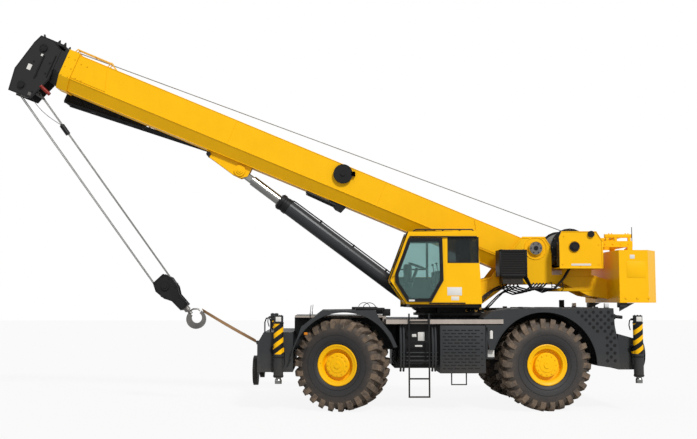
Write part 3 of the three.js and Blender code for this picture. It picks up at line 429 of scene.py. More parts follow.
glass_lamp = new_material("lamp_glass")
tree = glass_lamp.node_tree
ribs = node(tree, "TexWave", {"Vector": object_place(tree), "Scale": 12.0})
dimple = node(tree, "Bump", {"Height": ribs.outputs["Fac"], "Strength": 0.4, "Distance": 0.004})
tint = node(tree, "MapRange", {"Value": ribs.outputs["Fac"], "To Min": 0.55, "To Max": 0.8})
shader = node(tree, "BsdfPrincipled", {"Base Color": tint.outputs[0], "Roughness": 0.12,
                                       "Normal": dimple.outputs[0]})
node(tree, "OutputMaterial", {"Surface": shader.outputs[0]})
amber_plastic = enamel("amber_plastic", (0.62, 0.20, 0.01), 0.3, patch=0.9)
lamps = bmesh.new()
reds = bmesh.new()
ambers = bmesh.new()
for side in (1, -1):
    block(lamps, at(4.225, side * 0.62 - 0.09, 1.42), at(4.20, side * 0.62 + 0.09, 1.34), 0.008)
    block(lamps, at(-3.055, side * 1.30 - 0.045, 2.099), at(-2.965, side * 1.30 + 0.045, 2.19), 0.012)
    block(reds, at(-3.722, side * 1.18 - 0.10, 1.26), at(-3.70, side * 1.18 + 0.10, 1.36), 0.006)
    block(ambers, at(-3.721, side * 0.95 - 0.05, 1.27), at(-3.70, side * 0.95 + 0.05, 1.35), 0.006)
    block(ambers, at(3.20, side * 1.585 - 0.02, 1.55), at(3.27, side * 1.585 + 0.02, 1.60), 0.004)
settle("work_lamps", lamps, glass_lamp, "carrier")
settle("tail_lamps", reds, red_plastic, "carrier")
settle("marker_lamps", ambers, amber_plastic, "carrier")

# ---------------------------------------------------------------- outriggers
# Box beams slide out of both housings, each with an upright jack at its end. The jack
# housing is banded yellow and black as a warning and has a bolted cap over its cylinder.
YELLOW = (0.95, 0.50, 0.002)
STRIPE_PITCH, STRIPE_SLOPE, BAND_LOW, BAND_HIGH = 0.21, 0.75, 1.16, 1.78
JACK_Y, JACK_RADIUS, JACK_TOP = 1.545, 0.095, 1.94


def hazard_bands(name, low, high):
    """Charcoal enamel with slanting yellow and black bands between two heights."""
    material = enamel(name, CHARCOAL, 0.5, dust=0.3)
    tree = material.node_tree
    place = node(tree, "SeparateXYZ", {"Vector": object_place(tree)})
    slant = node(tree, "Math", {0: place.outputs["X"], 1: STRIPE_SLOPE, 2: place.outputs["Z"]},
                 operation="MULTIPLY_ADD")
    turns = node(tree, "Math", {0: slant.outputs[0], 1: STRIPE_PITCH}, operation="DIVIDE")
    phase = node(tree, "Math", {0: turns.outputs[0]}, operation="FRACT")
    bright = node(tree, "Math", {0: phase.outputs[0], 1: 0.48}, operation="LESS_THAN")
    banded = mix(tree, bright.outputs[0], (0.012, 0.012, 0.013, 1), (*YELLOW, 1))
    above = node(tree, "Math", {0: place.outputs["Z"], 1: low}, operation="GREATER_THAN")
    below = node(tree, "Math", {0: place.outputs["Z"], 1: high}, operation="LESS_THAN")
    outboard = node(tree, "Math", {0: place.outputs["Y"]}, operation="ABSOLUTE")
    beyond = node(tree, "Math", {0: outboard.outputs[0], 1: JACK_Y - 0.115}, operation="GREATER_THAN")
    inside = node(tree, "Math", {0: above.outputs[0], 1: below.outputs[0]}, operation="MULTIPLY")
    inside = node(tree, "Math", {0: inside.outputs[0], 1: beyond.outputs[0]}, operation="MULTIPLY")
    cover(material, inside.outputs[0], banded)
    return material


def spun(mesh, points, centre, axis, steps):
    """A line of points spun about an axis into a closed skin."""
    ring = [mesh.verts.new(point) for point in points]
    edges = [mesh.edges.new(pair) for pair in zip(ring, ring[1:])]
    bmesh.ops.spin(mesh, geom=ring + edges, cent=centre, axis=axis, angle=2 * math.pi, steps=steps,
                   use_merge=True)
    bmesh.ops.remove_doubles(mesh, verts=mesh.verts, dist=1e-5)


def bolt_ring(mesh, centre, radius, count, rise, size, u, v, first=0.0):
    """Bolt heads on a circle in the plane of u and v, each standing up by rise."""
    for i in range(count):
        angle = first + 2 * math.pi * i / count
        spot = Vector(centre) + u * (radius * math.cos(angle)) + v * (radius * math.sin(angle))
        bar(mesh, spot, spot + rise, size, 6)


X_WAY, Y_WAY, Z_WAY = Vector((1, 0, 0)), Vector((0, 1, 0)), Vector((0, 0, 1))
banded_paint = hazard_bands("banded_paint", BAND_LOW, BAND_HIGH)
coat_nodes(banded_paint, *[f"outrigger_beam_{corner}" for corner in CORNERS])
bright_rod = enamel("bright_rod", (0.30, 0.30, 0.29), 0.24, metal=1.0, patch=0.9)
coat_nodes(bright_rod, *[f"jack_{corner}" for corner in CORNERS])
for corner in CORNERS:
    low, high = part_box(f"jack_{corner}")
    x, side = (low.x + high.x) / 2, 1 if "left" in corner else -1
    y = side * JACK_Y
    # a smooth sleeve over the faceted housing, its rings, cap bolts and hose stubs
    sleeve = bmesh.new()
    outline = [(JACK_RADIUS, 0.70), (JACK_RADIUS + 0.004, 0.71), (JACK_RADIUS + 0.004, BAND_HIGH),
               (JACK_RADIUS - 0.002, BAND_HIGH + 0.006), (JACK_RADIUS - 0.002, JACK_TOP - 0.012),
               (JACK_RADIUS - 0.014, JACK_TOP), (0.0, JACK_TOP)]
    spun(sleeve, [(x + r, y, z) for r, z in outline], (x, y, 0), (0, 0, 1), 40)
    settle(f"jack_sleeve_{corner}", sleeve, banded_paint, f"beam_{corner}")
    fittings = bmesh.new()
    for z in (0.72, 1.10, 1.79):
        bar(fittings, (x, y, z - 0.012), (x, y, z + 0.012), JACK_RADIUS + 0.012, 32)
    bolt_ring(fittings, (x, y, JACK_TOP - 0.01), 0.065, 6, Z_WAY * 0.022, 0.011, X_WAY, Y_WAY, 0.3)
    for z in (1.33, 1.86):
        bar(fittings, (x + 0.07, y - side * 0.02, z), (x + 0.135, y - side * 0.02, z), 0.022, 10)
        pipe(fittings, [(x + 0.13, y - side * 0.02, z), (x + 0.15, y - side * 0.05, z - 0.02),
                        (x + 0.15, y - side * 0.10, z - 0.12), (x + 0.12, y - side * 0.12, z - 0.22)],
         0.012, 8)
    settle(f"jack_fittings_{corner}", fittings, black, f"beam_{corner}")
    sticker = bmesh.new()
    block(sticker, (x - 0.055, y + side * (JACK_RADIUS - 0.004), 1.82),
          (x + 0.055, y + side * (JACK_RADIUS + 0.002), 1.915), 0.002)
    settle(f"jack_plate_{corner}", sticker, white_plastic, f"beam_{corner}")
    # the ram's foot: a ball socket under the ram
    socket = bmesh.new()
    bmesh.ops.create_uvsphere(socket, u_segments=24, v_segments=12, radius=0.072,
                              matrix=Matrix.Translation((x, y, low.z + 0.055)))
    bmesh.ops.bisect_plane(socket, geom=socket.verts[:] + socket.edges[:] + socket.faces[:],
                           plane_co=(x, y, low.z), plane_no=(0, 0, -1), clear_outer=True)
    bmesh.ops.holes_fill(socket, edges=[e for e in socket.edges if e.is_boundary], sides=0)
    settle(f"jack_foot_{corner}", socket, bright_rod, f"jack_{corner}")

# housings: weld beads and bolts round the tunnels, and a hoop ahead of each front jack
seams = bmesh.new()
for corner in CORNERS:
    side = 1 if "left" in corner else -1
    y = side * 1.43
    jack_low, jack_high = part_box(f"jack_{corner}")
    x = (jack_low.x + jack_high.x) / 2
    tunnel = ((-0.125, 0.92), (-0.125, 1.295), (0.125, 1.295), (0.125, 0.92), (-0.125, 0.92))
    pipe(seams, [(x + offset, y, z) for offset, z in tunnel], 0.009, 6)
    for i in range(4):
        bolt_x = x - 0.09 + 0.06 * i
        bar(seams, (bolt_x, y - 0.002, 1.34), (bolt_x, y + side * 0.014, 1.34), 0.013, 6)
settle("housing_seams", seams, charcoal, "carrier")
hoops = bmesh.new()
for side in (1, -1):
    hoop = ((4.09, 1.59), (4.09, 1.80), (4.06, 1.88), (4.00, 1.89), (3.97, 1.82), (3.97, 1.59))
    pipe(hoops, [at(x, side * 1.22, z) for x, z in hoop], 0.014, 8)
settle("jack_hoops", hoops, black, "carrier")

# floats: pressed rings on their faces
dishes = bmesh.new()
for name, outward in (("floats_front", 1), ("floats_rear", -1)):
    low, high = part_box(name)
    z = (low.z + high.z) / 2
    for side in (1, -1):
        face = (high.x if outward > 0 else low.x) - outward * 0.025
        for radius in (0.27, 0.19):
            pipe(dishes, arc((face, side * 1.0, z), radius, 0, 360, 32, Vector((0, 1, 0))), 0.011, 6)
        for i in range(6):
            angle = math.radians(60 * i)
            reach = Vector((0, math.cos(angle), math.sin(angle)))
            centre = Vector((face, side * 1.0, z))
            bar(dishes, centre + reach * 0.09, centre + reach * 0.28, 0.009, 6)
settle("float_ribs", dishes, black, "carrier")

# ---------------------------------------------------------------- wheels
# Earthmover tyres with deep staggered lugs that wrap over the shoulder, dusty on the lugs and
# black between them, on yellow one-piece rims with a dished disc and a ring of hub bolts.


def rubber(name):
    """Black rubber whose outer lugs are brown with dry dirt."""
    material = new_material(name)
    tree = material.node_tree
    place = object_place(tree)
    dirt = node(tree, "TexNoise", {"Vector": place, "Scale": 5.5, "Detail": 8.0, "Roughness": 0.7})
    crumbs = node(tree, "TexNoise", {"Vector": place, "Scale": 60.0, "Detail": 3.0})
    worn = node(tree, "Attribute", attribute_name="lug")
    patch = node(tree, "MapRange", {"Value": dirt.outputs["Fac"], "From Min": 0.30, "From Max": 0.62})
    shade = node(tree, "Math", {0: patch.outputs[0], 1: worn.outputs["Fac"]}, operation="MULTIPLY")
    brown = mix(tree, crumbs.outputs["Fac"], (0.10, 0.068, 0.045, 1), (0.26, 0.185, 0.125, 1))
    colour = mix(tree, shade.outputs[0], (0.013, 0.012, 0.012, 1), brown)
    rough = node(tree, "MapRange", {"Value": shade.outputs[0], "To Min": 0.62, "To Max": 0.95})
    bump = node(tree, "Bump", {"Height": crumbs.outputs["Fac"], "Strength": 0.35, "Distance": 0.01})
    shader = node(tree, "BsdfPrincipled", {"Base Color": colour, "Roughness": rough.outputs[0],
                                           "Normal": bump.outputs[0]})
    node(tree, "OutputMaterial", {"Surface": shader.outputs[0]})
    return material


tyre_rubber = rubber("tyre_rubber")
yellow = enamel("yellow_enamel", YELLOW, 0.38, dust=0.18, dust_top=0.9, patch=0.93)
LUG_COUNT = 26
SIDEWALL = ((0.362, 0.296), (0.374, 0.312), (0.424, 0.316), (0.440, 0.330), (0.470, 0.344), (0.56, 0.361),
            (0.66, 0.370), (0.745, 0.370), (0.80, 0.352), (0.845, 0.325), (0.868, 0.27), (0.872, 0.12),
            (0.873, 0.0))
LUG_PATH = ((0.03, 0.934, 0.0), (0.20, 0.934, 0.035), (0.318, 0.930, 0.075),
            (0.362, 0.885, 0.085), (0.377, 0.800, 0.085), (0.374, 0.745, 0.080))
RIM_PROFILE = ((0.0, 0.312), (0.150, 0.312), (0.158, 0.304), (0.235, 0.302), (0.246, 0.294), (0.252, 0.215),
               (0.262, 0.206), (0.300, 0.206), (0.312, 0.212), (0.322, 0.296), (0.334, 0.318), (0.372, 0.322),
               (0.384, 0.330), (0.405, 0.336), (0.420, 0.330), (0.421, 0.303), (0.362, 0.301),
               (0.361, -0.301), (0.421, -0.303), (0.420, -0.330), (0.400, -0.334), (0.345, -0.326),
               (0.333, -0.20), (0.333, 0.12),
               (0.150, 0.13), (0.0, 0.13))


def turned(mesh, profile, steps):
    """A profile of radius and reach along +Y, spun about the Y axis."""
    spun(mesh, [(r, y, 0) for r, y in profile], (0, 0, 0), (0, 1, 0), steps)


def tread_lugs(mesh, side, turn):
    """A ring of lugs, each a bar bent from the middle of the tread over the shoulder."""
    lugs = bmesh.new()
    bmesh.ops.create_cube(lugs, size=1)
    lengthwise = [edge for edge in lugs.edges if abs(edge.verts[0].co.y - edge.verts[1].co.y) > 0.5]
    bmesh.ops.subdivide_edges(lugs, edges=lengthwise, cuts=len(LUG_PATH) - 2, use_grid_fill=True)
    for vert in lugs.verts:
        step = round((vert.co.y + 0.5) * (len(LUG_PATH) - 1))
        reach, radius, sweep = LUG_PATH[step]
        top = vert.co.z > 0
        flare = 0.052 if top else 0.064
        deep = 0.0 if top else 0.085
        inward = Vector((0, -0.75, -0.66)) if step >= 3 else Vector((0, 0, -1))
        vert.co = Vector((sweep + flare * (1 if vert.co.x > 0 else -1), reach, radius)) + inward * deep
    bmesh.ops.transform(lugs, matrix=Matrix.Rotation(turn, 4, "Y") @ Matrix.Diagonal((1, side, 1, 1)),
                        verts=lugs.verts)
    bmesh.ops.spin(lugs, geom=lugs.verts[:] + lugs.edges[:] + lugs.faces[:], cent=(0, 0, 0), axis=(0, 1, 0),
                   steps=LUG_COUNT - 1, angle=2 * math.pi * (LUG_COUNT - 1) / LUG_COUNT, use_duplicate=True)
    joined = bpy.data.meshes.new("lugs")
    lugs.to_mesh(joined)
    lugs.free()
    mesh.from_mesh(joined)
    bpy.data.meshes.remove(joined)


for corner in CORNERS:
    axis = Vector(joints[f"wheel_turn_{corner}"]["axis"]).normalized()
    centre = Vector(joints[f"wheel_turn_{corner}"]["pos_m"])
    side = 1 if "left" in corner else -1
    outward = axis if axis.y * side > 0 else -axis
    lie = Vector((outward.y, -outward.x, 0))
    place = Matrix(((lie.x, outward.x, 0, centre.x), (lie.y, outward.y, 0, centre.y),
                    (0, 0, 1, centre.z), (0, 0, 0, 1)))
    tyre = bmesh.new()
    worn = tyre.verts.layers.float.new("lug")
    tread_lugs(tyre, 1, 0.0)
    tread_lugs(tyre, -1, math.pi / LUG_COUNT)
    lug_total = len(tyre.verts)
    whole = [*SIDEWALL, *[(r, -y) for r, y in reversed(SIDEWALL[:-1])], SIDEWALL[0]]
    turned(tyre, whole, 104)
    for i, vert in enumerate(tyre.verts):
        spread = math.hypot(vert.co.x, vert.co.z)
        vert[worn] = 1.0 if i < lug_total else max(0.0, min(0.55, (spread - 0.62) * 2.2))
    # rings moulded on the sidewall
    for radius, reach in ((0.50, 0.3545), (0.62, 0.3705)):
        for hand in (1, -1):
            pipe(tyre, arc((0, hand * (reach - 0.003), 0), radius, 0, 360, 56), 0.007, 6)
    piece = settle(f"tyre_tread_{corner}", tyre, tyre_rubber, f"wheel_{corner}", 30, place)
    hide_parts(f"tyre_{corner}")

    rim = bmesh.new()
    turned(rim, RIM_PROFILE, 72)
    bolt_ring(rim, (0, 0.30, 0), 0.200, 12, Y_WAY * 0.016, 0.015, X_WAY, Z_WAY)
    bar(rim, (0, 0.30, 0), (0, 0.326, 0), 0.075, 28, 0.066)
    bar(rim, (0.0, 0.32, 0.04), (0.0, 0.333, 0.04), 0.012, 8)
    bar(rim, (0.35, 0.30, 0.05), (0.352, 0.345, 0.05), 0.006, 8)
    piece = settle(f"rim_disc_{corner}", rim, yellow, f"wheel_{corner}", 28, place)
    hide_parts(f"rim_{corner}")

# ---------------------------------------------------------------- slewing ring and turntable
# A toothed ring bolted to the deck carries the turntable, whose plates are welded box work.
# Bolts, hose clamps and brass couplings show round the ring.
coat_nodes(yellow, "cab_shell", "hoist_frame", "counterweight", "boom_base")
TABLE_PAINT_LOW, TABLE_LOW_DARK = 2.168, (0.014, 0.013, 0.012, 1)
# The turntable paint turns near black below a set height.
turntable_paint = enamel("turntable_paint", YELLOW, 0.42, patch=0.94)
tree = turntable_paint.node_tree
place = node(tree, "SeparateXYZ", {"Vector": object_place(tree)})
low_zone = node(tree, "Math", {0: place.outputs["Z"], 1: TABLE_PAINT_LOW}, operation="LESS_THAN")
cover(turntable_paint, low_zone.outputs[0], TABLE_LOW_DARK)
coat_nodes(turntable_paint, "turntable_frame")
steel = enamel("bare_steel", (0.22, 0.21, 0.20), 0.35, metal=0.9, patch=0.7)
coat_nodes(steel, "boom_pivot_pin", "lift_base_pin", "lift_piston", "lower_sheaves")
brass = enamel("brass", (0.42, 0.25, 0.07), 0.35, metal=0.8, patch=0.7)
bolts = bmesh.new()
bolt_ring(bolts, at(0, 0, 1.925), 0.72, 36, Z_WAY * 0.022, 0.02, X_WAY, Y_WAY)
bolt_ring(bolts, at(0, 0, 1.868), 0.775, 64, Z_WAY * 0.054, 0.018, X_WAY, Y_WAY)
settle("ring_teeth", bolts, black, "carrier")

upper_bolts = bmesh.new()
for i in range(30):
    angle = 2 * math.pi * (i + 0.5) / 30
    spot = at(0.83 * math.cos(angle), 0.83 * math.sin(angle), 1.984)
    if abs(spot.y) > 0.49 or spot.x - slew_x < -0.56 or spot.x - slew_x > 0.8:
        bar(upper_bolts, spot, spot + Vector((0, 0, 0.024)), 0.019, 6)
settle("table_bolts", upper_bolts, black, "upper_works")

couplings = bmesh.new()
for x, z in ((-0.20, 2.03), (-0.30, 2.06), (-0.40, 2.03), (-0.50, 2.07), (-0.60, 2.04), (0.05, 2.03)):
    bar(couplings, at(x, 0.49, z), at(x, 0.56, z), 0.022, 6)
    bar(couplings, at(x, 0.55, z), at(x, 0.58, z), 0.030, 12)
settle("hose_couplings", couplings, brass, "upper_works")
hose_rubber = enamel("hose_rubber", (0.014, 0.014, 0.015), 0.55, patch=0.8)
hoses = bmesh.new()
for i, x in enumerate((-0.20, -0.30, -0.40, -0.50, -0.60)):
    drop = 0.05 * (i % 3)
    pipe(hoses, [at(x, 0.57, 2.04), at(x - 0.03, 0.66, 2.03 + drop), at(x - 0.10, 0.70, 2.10 + drop),
                 at(x - 0.22, 0.66, 2.22 + drop), at(x - 0.38, 0.58, 2.36 + drop), at(x - 0.60, 0.53, 2.50),
                 at(x - 0.75, 0.50, 2.56)], 0.016, 8)
settle("turntable_hoses", hoses, hose_rubber, "upper_works")

# weld seams and a doubler along each side plate, the lift lug rings and the boom foot ring
PLATE_Y, PIVOT_X, PIVOT_Z = 0.470, -1.73, 3.38
welds = bmesh.new()
edge_line = ((0.40, 2.45), (-0.75, 2.76), (-1.445, 3.635), (-1.93, 3.635), (-2.07, 3.42), (-2.07, 2.80),
             (-2.96, 2.80), (-3.285, 2.70))
for side in (1, -1):
    y = side * (PLATE_Y + 0.001)
    pipe(welds, [at(x, y, z - 0.03) for x, z in edge_line], 0.010, 6)
    pipe(welds, arc(at(PIVOT_X, side * 0.512, PIVOT_Z), 0.150, 0, 360, 28), 0.010, 6)
    pipe(welds, arc(at(PIVOT_X, side * 0.472, PIVOT_Z), 0.24, 0, 360, 32), 0.012, 6)
    block(welds, at(-2.95, y - 0.006, 2.45), at(-2.20, y + 0.006, 2.52), 0.003)
    for i in range(5):
        bar(welds, at(-3.18 + 0.06 * i, y, 2.60), at(-3.18 + 0.06 * i, y + side * 0.016, 2.60), 0.016, 6)
settle("turntable_welds", welds, yellow, "upper_works")
foot_ring = bmesh.new()
for side in (1, -1):
    bolt_ring(foot_ring, at(PIVOT_X, side * 0.533, PIVOT_Z), 0.105, 6, Y_WAY * (side * 0.014), 0.014,
              X_WAY, Z_WAY)
    bar(foot_ring, at(PIVOT_X, side * 0.533, PIVOT_Z), at(PIVOT_X, side * 0.545, PIVOT_Z), 0.05, 24)
settle("foot_pin_bolts", foot_ring, black, "boom_pivot_pin")

# ---------------------------------------------------------------- cab
# A yellow steel shell with a black sliding door. Tinted panes fill its windows, and a padded
# seat, two consoles, a steering wheel and levers show through them.
CAB_INNER, CAB_OUTER = 0.50, 1.42
DOOR_OUTLINE = ((1.12, 3.54), (0.42, 3.54), (0.40, 2.66), (0.65, 2.22), (1.15, 2.215), (1.40, 2.62),
                (1.40, 2.80))
coat_nodes(black, "cab_door")


def pane_glass(name, tint):
    """Tinted glass, seen through but with a clear sheen."""
    material = new_material(name)
    tree = material.node_tree
    haze = node(tree, "TexNoise", {"Vector": object_place(tree), "Scale": 2.0})
    shade = node(tree, "MapRange", {"Value": haze.outputs["Fac"], "To Min": 0.85, "To Max": 1.1})
    tone = node(tree, "VectorMath", {0: tint, "Scale": shade.outputs[0]}, operation="SCALE")
    shader = node(tree, "BsdfPrincipled", {"Base Color": tone.outputs[0], "Roughness": 0.03,
                                           "Transmission Weight": 0.9, "IOR": 1.25})
    node(tree, "OutputMaterial", {"Surface": shader.outputs[0]})
    return material


def plate(mesh, outline, y_low, y_high, spot=at):
    """A flat sheet cut to an outline, between two levels of y; spot places each corner."""
    ends = [[mesh.verts.new(spot(x, y, z)) for x, z in outline] for y in (y_low, y_high)]
    mesh.faces.new(ends[0])
    mesh.faces.new(ends[1])
    for i in range(len(outline)):
        k = (i + 1) % len(outline)
        mesh.faces.new((ends[0][i], ends[0][k], ends[1][k], ends[1][i]))


def strip(mesh, start, end, across, depth):
    """A flat bar or pane between two lines: start and end are its middles, across its half width."""
    start, end, across, depth = Vector(start), Vector(end), Vector(across), Vector(depth)
    ends = [[mesh.verts.new(spot + across * i + depth * j) for i, j in ((-1, -1), (1, -1), (1, 1), (-1, 1))]
            for spot in (start, end)]
    mesh.faces.new(ends[0])
    mesh.faces.new(ends[1])
    for i in range(4):
        k = (i + 1) % 4
        mesh.faces.new((ends[0][i], ends[0][k], ends[1][k], ends[1][i]))


def shrunk(outline, share):
    """An outline drawn in towards its middle."""
    middle_x = sum(x for x, z in outline) / len(outline)
    middle_z = sum(z for x, z in outline) / len(outline)
    return [(middle_x + (x - middle_x) * share, middle_z + (z - middle_z) * share) for x, z in outline]


teal_glass = pane_glass("teal_glass", (0.42, 0.66, 0.62))
grey_glass = pane_glass("grey_glass", (0.60, 0.66, 0.68))
dark_glass = pane_glass("dark_glass", (0.10, 0.13, 0.13))
pane = bmesh.new()
plate(pane, shrunk(DOOR_OUTLINE, 0.90), 1.441, 1.447)
settle("door_pane", pane, teal_glass, "cab_door")
panes = bmesh.new()
plate(panes, ((1.06, 3.575), (-0.25, 3.575), (-0.28, 2.89), (0.50, 2.74), (1.34, 2.74)), 0.516, 0.522)
strip(panes, at(1.120, 0.96, 3.60), at(1.468, 0.96, 2.69), (0, 0.40, 0), (0.003, 0, 0.001))
strip(panes, at(1.462, 0.96, 2.625), at(1.165, 0.96, 2.25), (0, 0.40, 0), (0.003, 0, -0.002))
strip(panes, at(0.24, 0.96, 3.662), at(0.91, 0.96, 3.652), (0, 0.35, 0), (0, 0, 0.003))
strip(panes, at(-0.338, 0.96, 2.94), at(-0.306, 0.96, 3.56), (0, 0.38, 0), (0.003, 0, 0))
settle("window_panes", panes, grey_glass, "upper_works")
rear_pane = bmesh.new()
block(rear_pane, at(-0.338, 1.400, 3.022), at(0.308, 1.406, 3.558))
settle("rear_side_pane", rear_pane, dark_glass, "upper_works")

seals = bmesh.new()
door_loop = [at(x, 1.4635, z) for x, z in shrunk(DOOR_OUTLINE, 0.905)]
pipe(seals, door_loop + door_loop[:2], 0.006, 6)
settle("door_seal", seals, hose_rubber, "cab_door")
frames = bmesh.new()
for x_low, x_high, z_low, z_high in ((-0.34, -0.325, 3.02, 3.56), (0.295, 0.312, 3.02, 3.56),
                                     (-0.34, 0.312, 3.02, 3.036), (-0.34, 0.312, 3.545, 3.56)):
    block(frames, at(x_low, 1.406, z_low), at(x_high, 1.4225, z_high), 0.002)
for y in (CAB_INNER + 0.045, CAB_OUTER - 0.045):
    pipe(frames, [at(1.128, y, 3.675), at(1.506, y, 2.668), at(1.174, y, 2.19)], 0.013, 8)
strip(frames, at(1.132, 0.96, 3.650), at(1.145, 0.96, 3.605), (0, 0.42, 0), (0.012, 0, 0.004))
block(frames, at(0.18, 0.58, 3.688), at(0.96, 1.34, 3.696), 0.003)
block(frames, at(-0.30, 1.421, 3.551), at(1.10, 1.452, 3.578), 0.004)
block(frames, at(-0.05, 1.421, 2.176), at(0.70, 1.452, 2.204), 0.004)
for y in (0.60, 1.32):
    pipe(frames, [at(-0.25, y, 3.685), at(-0.22, y, 3.725), at(0.95, y, 3.722), at(1.02, y, 3.68)], 0.014, 8)
for x in (0.0, 0.36, 0.72):
    bar(frames, at(x, 0.60, 3.724), at(x, 1.32, 3.724), 0.010, 8)
settle("cab_trim", frames, black, "upper_works")

wiper = bmesh.new()
bar(wiper, at(1.500, 0.80, 2.66), at(1.526, 0.80, 2.66), 0.022, 12)
strip(wiper, at(1.520, 0.80, 2.67), at(1.338, 1.02, 3.16), (0, 0.007, 0), (0.004, 0, 0.002))
strip(wiper, at(1.412, 1.00, 2.93), at(1.268, 1.05, 3.30), (0, 0.006, 0), (0.006, 0, 0.002))
settle("wiper", wiper, black, "upper_works")

rail = bmesh.new()
pipe(rail, [at(1.235, 1.415, 3.30), at(1.235, 1.475, 3.29), at(1.25, 1.490, 3.24), at(1.42, 1.490, 2.80),
            at(1.435, 1.475, 2.75), at(1.435, 1.415, 2.74)], 0.013)
settle("cab_grab_rail", rail, yellow, "upper_works")
handle = bmesh.new()
block(handle, at(0.435, 1.461, 2.86), at(0.475, 1.470, 3.06), 0.004)
grip = ((1.466, 2.89), (1.490, 2.90), (1.490, 3.02), (1.466, 3.03))
pipe(handle, [at(0.455, y, z) for y, z in grip], 0.007)
settle("door_handle", handle, black, "cab_door")
signs = bmesh.new()
block(signs, at(0.02, 1.419, 2.35), at(0.32, 1.4215, 2.52), 0.001)
block(signs, at(0.08, 1.419, 2.25), at(0.24, 1.4215, 2.33), 0.001)
settle("cab_plates", signs, white_plastic, "upper_works")
sign = bmesh.new()
block(sign, at(1.00, 1.462, 2.228), at(1.12, 1.4655, 2.266), 0.001)
settle("door_plate", sign, white_plastic, "cab_door")
# dark linings: the far wall with a mullion and a rail, the roof edge, and behind the near sill
lining = bmesh.new()
plate(lining, ((-0.32, 2.23), (1.13, 2.23), (1.42, 2.66), (1.39, 2.745), (-0.31, 2.745)), 0.541, 0.549)
plate(lining, ((-0.27, 3.56), (1.06, 3.56), (1.04, 3.64), (-0.26, 3.64)), 0.541, 0.549)
plate(lining, ((-0.31, 2.745), (0.02, 2.745), (0.02, 3.56), (-0.27, 3.56)), 0.541, 0.549)
plate(lining, ((-0.31, 2.24), (0.36, 2.24), (0.36, 3.01), (-0.29, 3.01)), 1.371, 1.378)
block(lining, at(0.62, 0.53, 2.70), at(0.67, 0.56, 3.60), 0.004)
block(lining, at(0.66, 0.53, 2.90), at(1.36, 0.56, 2.93), 0.004)
plate(lining, ((0.45, 3.43), (1.10, 3.43), (1.06, 3.56), (0.45, 3.56)), 1.36, 1.38)
plate(lining, ((0.66, 2.26), (1.14, 2.26), (1.30, 2.52), (0.52, 2.52)), 1.36, 1.38)
settle("cab_lining", lining, black, "upper_works")

# what shows inside: floor mat, consoles, steering column and wheel, levers and pedals
dark_plastic = enamel("dark_plastic", (0.022, 0.023, 0.025), 0.6, patch=0.85, grain=0.004)
inside = bmesh.new()
block(inside, at(-0.30, 0.56, 2.216), at(1.10, 1.36, 2.226), 0.003)
for y in (0.565, 1.275):
    block(inside, at(0.02, y, 2.23), at(0.56, y + 0.075, 2.86), 0.02)
    bar(inside, at(0.50, y + 0.038, 2.85), at(0.53, y + 0.038, 3.00), 0.009, 8)
    bmesh.ops.create_icosphere(inside, subdivisions=2, radius=0.026,
                               matrix=Matrix.Translation(at(0.532, y + 0.038, 3.01)))
block(inside, at(1.02, 0.70, 2.23), at(1.16, 1.22, 2.62), 0.03)
bar(inside, at(1.06, 0.96, 2.50), at(0.90, 0.96, 2.93), 0.035, 16)
block(inside, at(1.00, 0.56, 2.62), at(1.16, 0.74, 3.02), 0.02)
for y in (0.82, 1.08):
    strip(inside, at(0.86, y, 2.24), at(0.96, y, 2.38), (0, 0.045, 0), (0.006, 0, -0.004))
wheel_place = Matrix.Translation(at(0.885, 0.96, 2.97)) @ Matrix.Rotation(math.radians(-20), 4, "Y")
rim_points = [wheel_place @ point for point in arc((0, 0, 0), 0.20, 0, 360, 36, up=Vector((0, 1, 0)))]
pipe(inside, rim_points, 0.015, 8)
for angle in (90, 210, 330):
    spoke = Vector((0.20 * math.cos(math.radians(angle)), 0.20 * math.sin(math.radians(angle)), 0))
    bar(inside, wheel_place @ Vector((0, 0, -0.02)), wheel_place @ spoke, 0.011, 8)
settle("cab_interior", inside, dark_plastic, "upper_works")
screen = bmesh.new()
block(screen, at(0.990, 0.58, 2.80), at(0.999, 0.72, 2.98), 0.002)
settle("cab_display", screen, dark_glass, "upper_works")

cloth = enamel("seat_fabric", (0.035, 0.038, 0.045), 0.9, patch=0.85, grain=0.006)
weave = cloth.node_tree
threads = node(weave, "TexWave", {"Vector": object_place(weave), "Scale": 120.0, "Distortion": 1.5,
                                  "Detail": 2.0})
nap = node(weave, "Bump", {"Height": threads.outputs["Fac"], "Strength": 0.4, "Distance": 0.002})
weave.links.new(nap.outputs[0], shader_of(cloth).inputs["Normal"])


def cushion(name, size, place, channels):
    """A crowned pad whose sides pull in between its corners, with sewn channels across it."""
    pad = bmesh.new()
    bmesh.ops.create_cube(pad, size=1)
    bmesh.ops.subdivide_edges(pad, edges=pad.edges[:], cuts=23, use_grid_fill=True)
    for vert in pad.verts:
        u, v, w = (2 * vert.co).to_tuple()
        # a squircle plan with soft edges, thickest in the middle
        crown = (1 - abs(u) ** 4) * (1 - abs(v) ** 4)
        waist = 1 - 0.05 * (1 - abs(w) ** 2 * 0.3) * (1 - max(abs(u), abs(v)) ** 8)
        seam = sum(math.exp(-((u - mark) / 0.05) ** 2) for mark in channels)
        lift = 1 if w > 0 else 0.35
        z = w * size[2] / 2 * (0.62 + 0.38 * crown * lift) - seam * 0.010 * max(w, 0) * crown
        round_off = 1 - 0.10 * abs(w) ** 3 * max(abs(u), abs(v)) ** 6
        vert.co = Vector((u * size[0] / 2 * (1 - 0.03 * (1 - v * v)) * round_off,
                          v * size[1] / 2 * (1 - 0.03 * (1 - u * u)) * round_off * waist, z))
    bmesh.ops.smooth_vert(pad, verts=pad.verts, factor=0.5, use_axis_x=True, use_axis_y=True, use_axis_z=True)
    piece = settle(name, pad, cloth, "upper_works", smooth=80, place=place)
    return piece


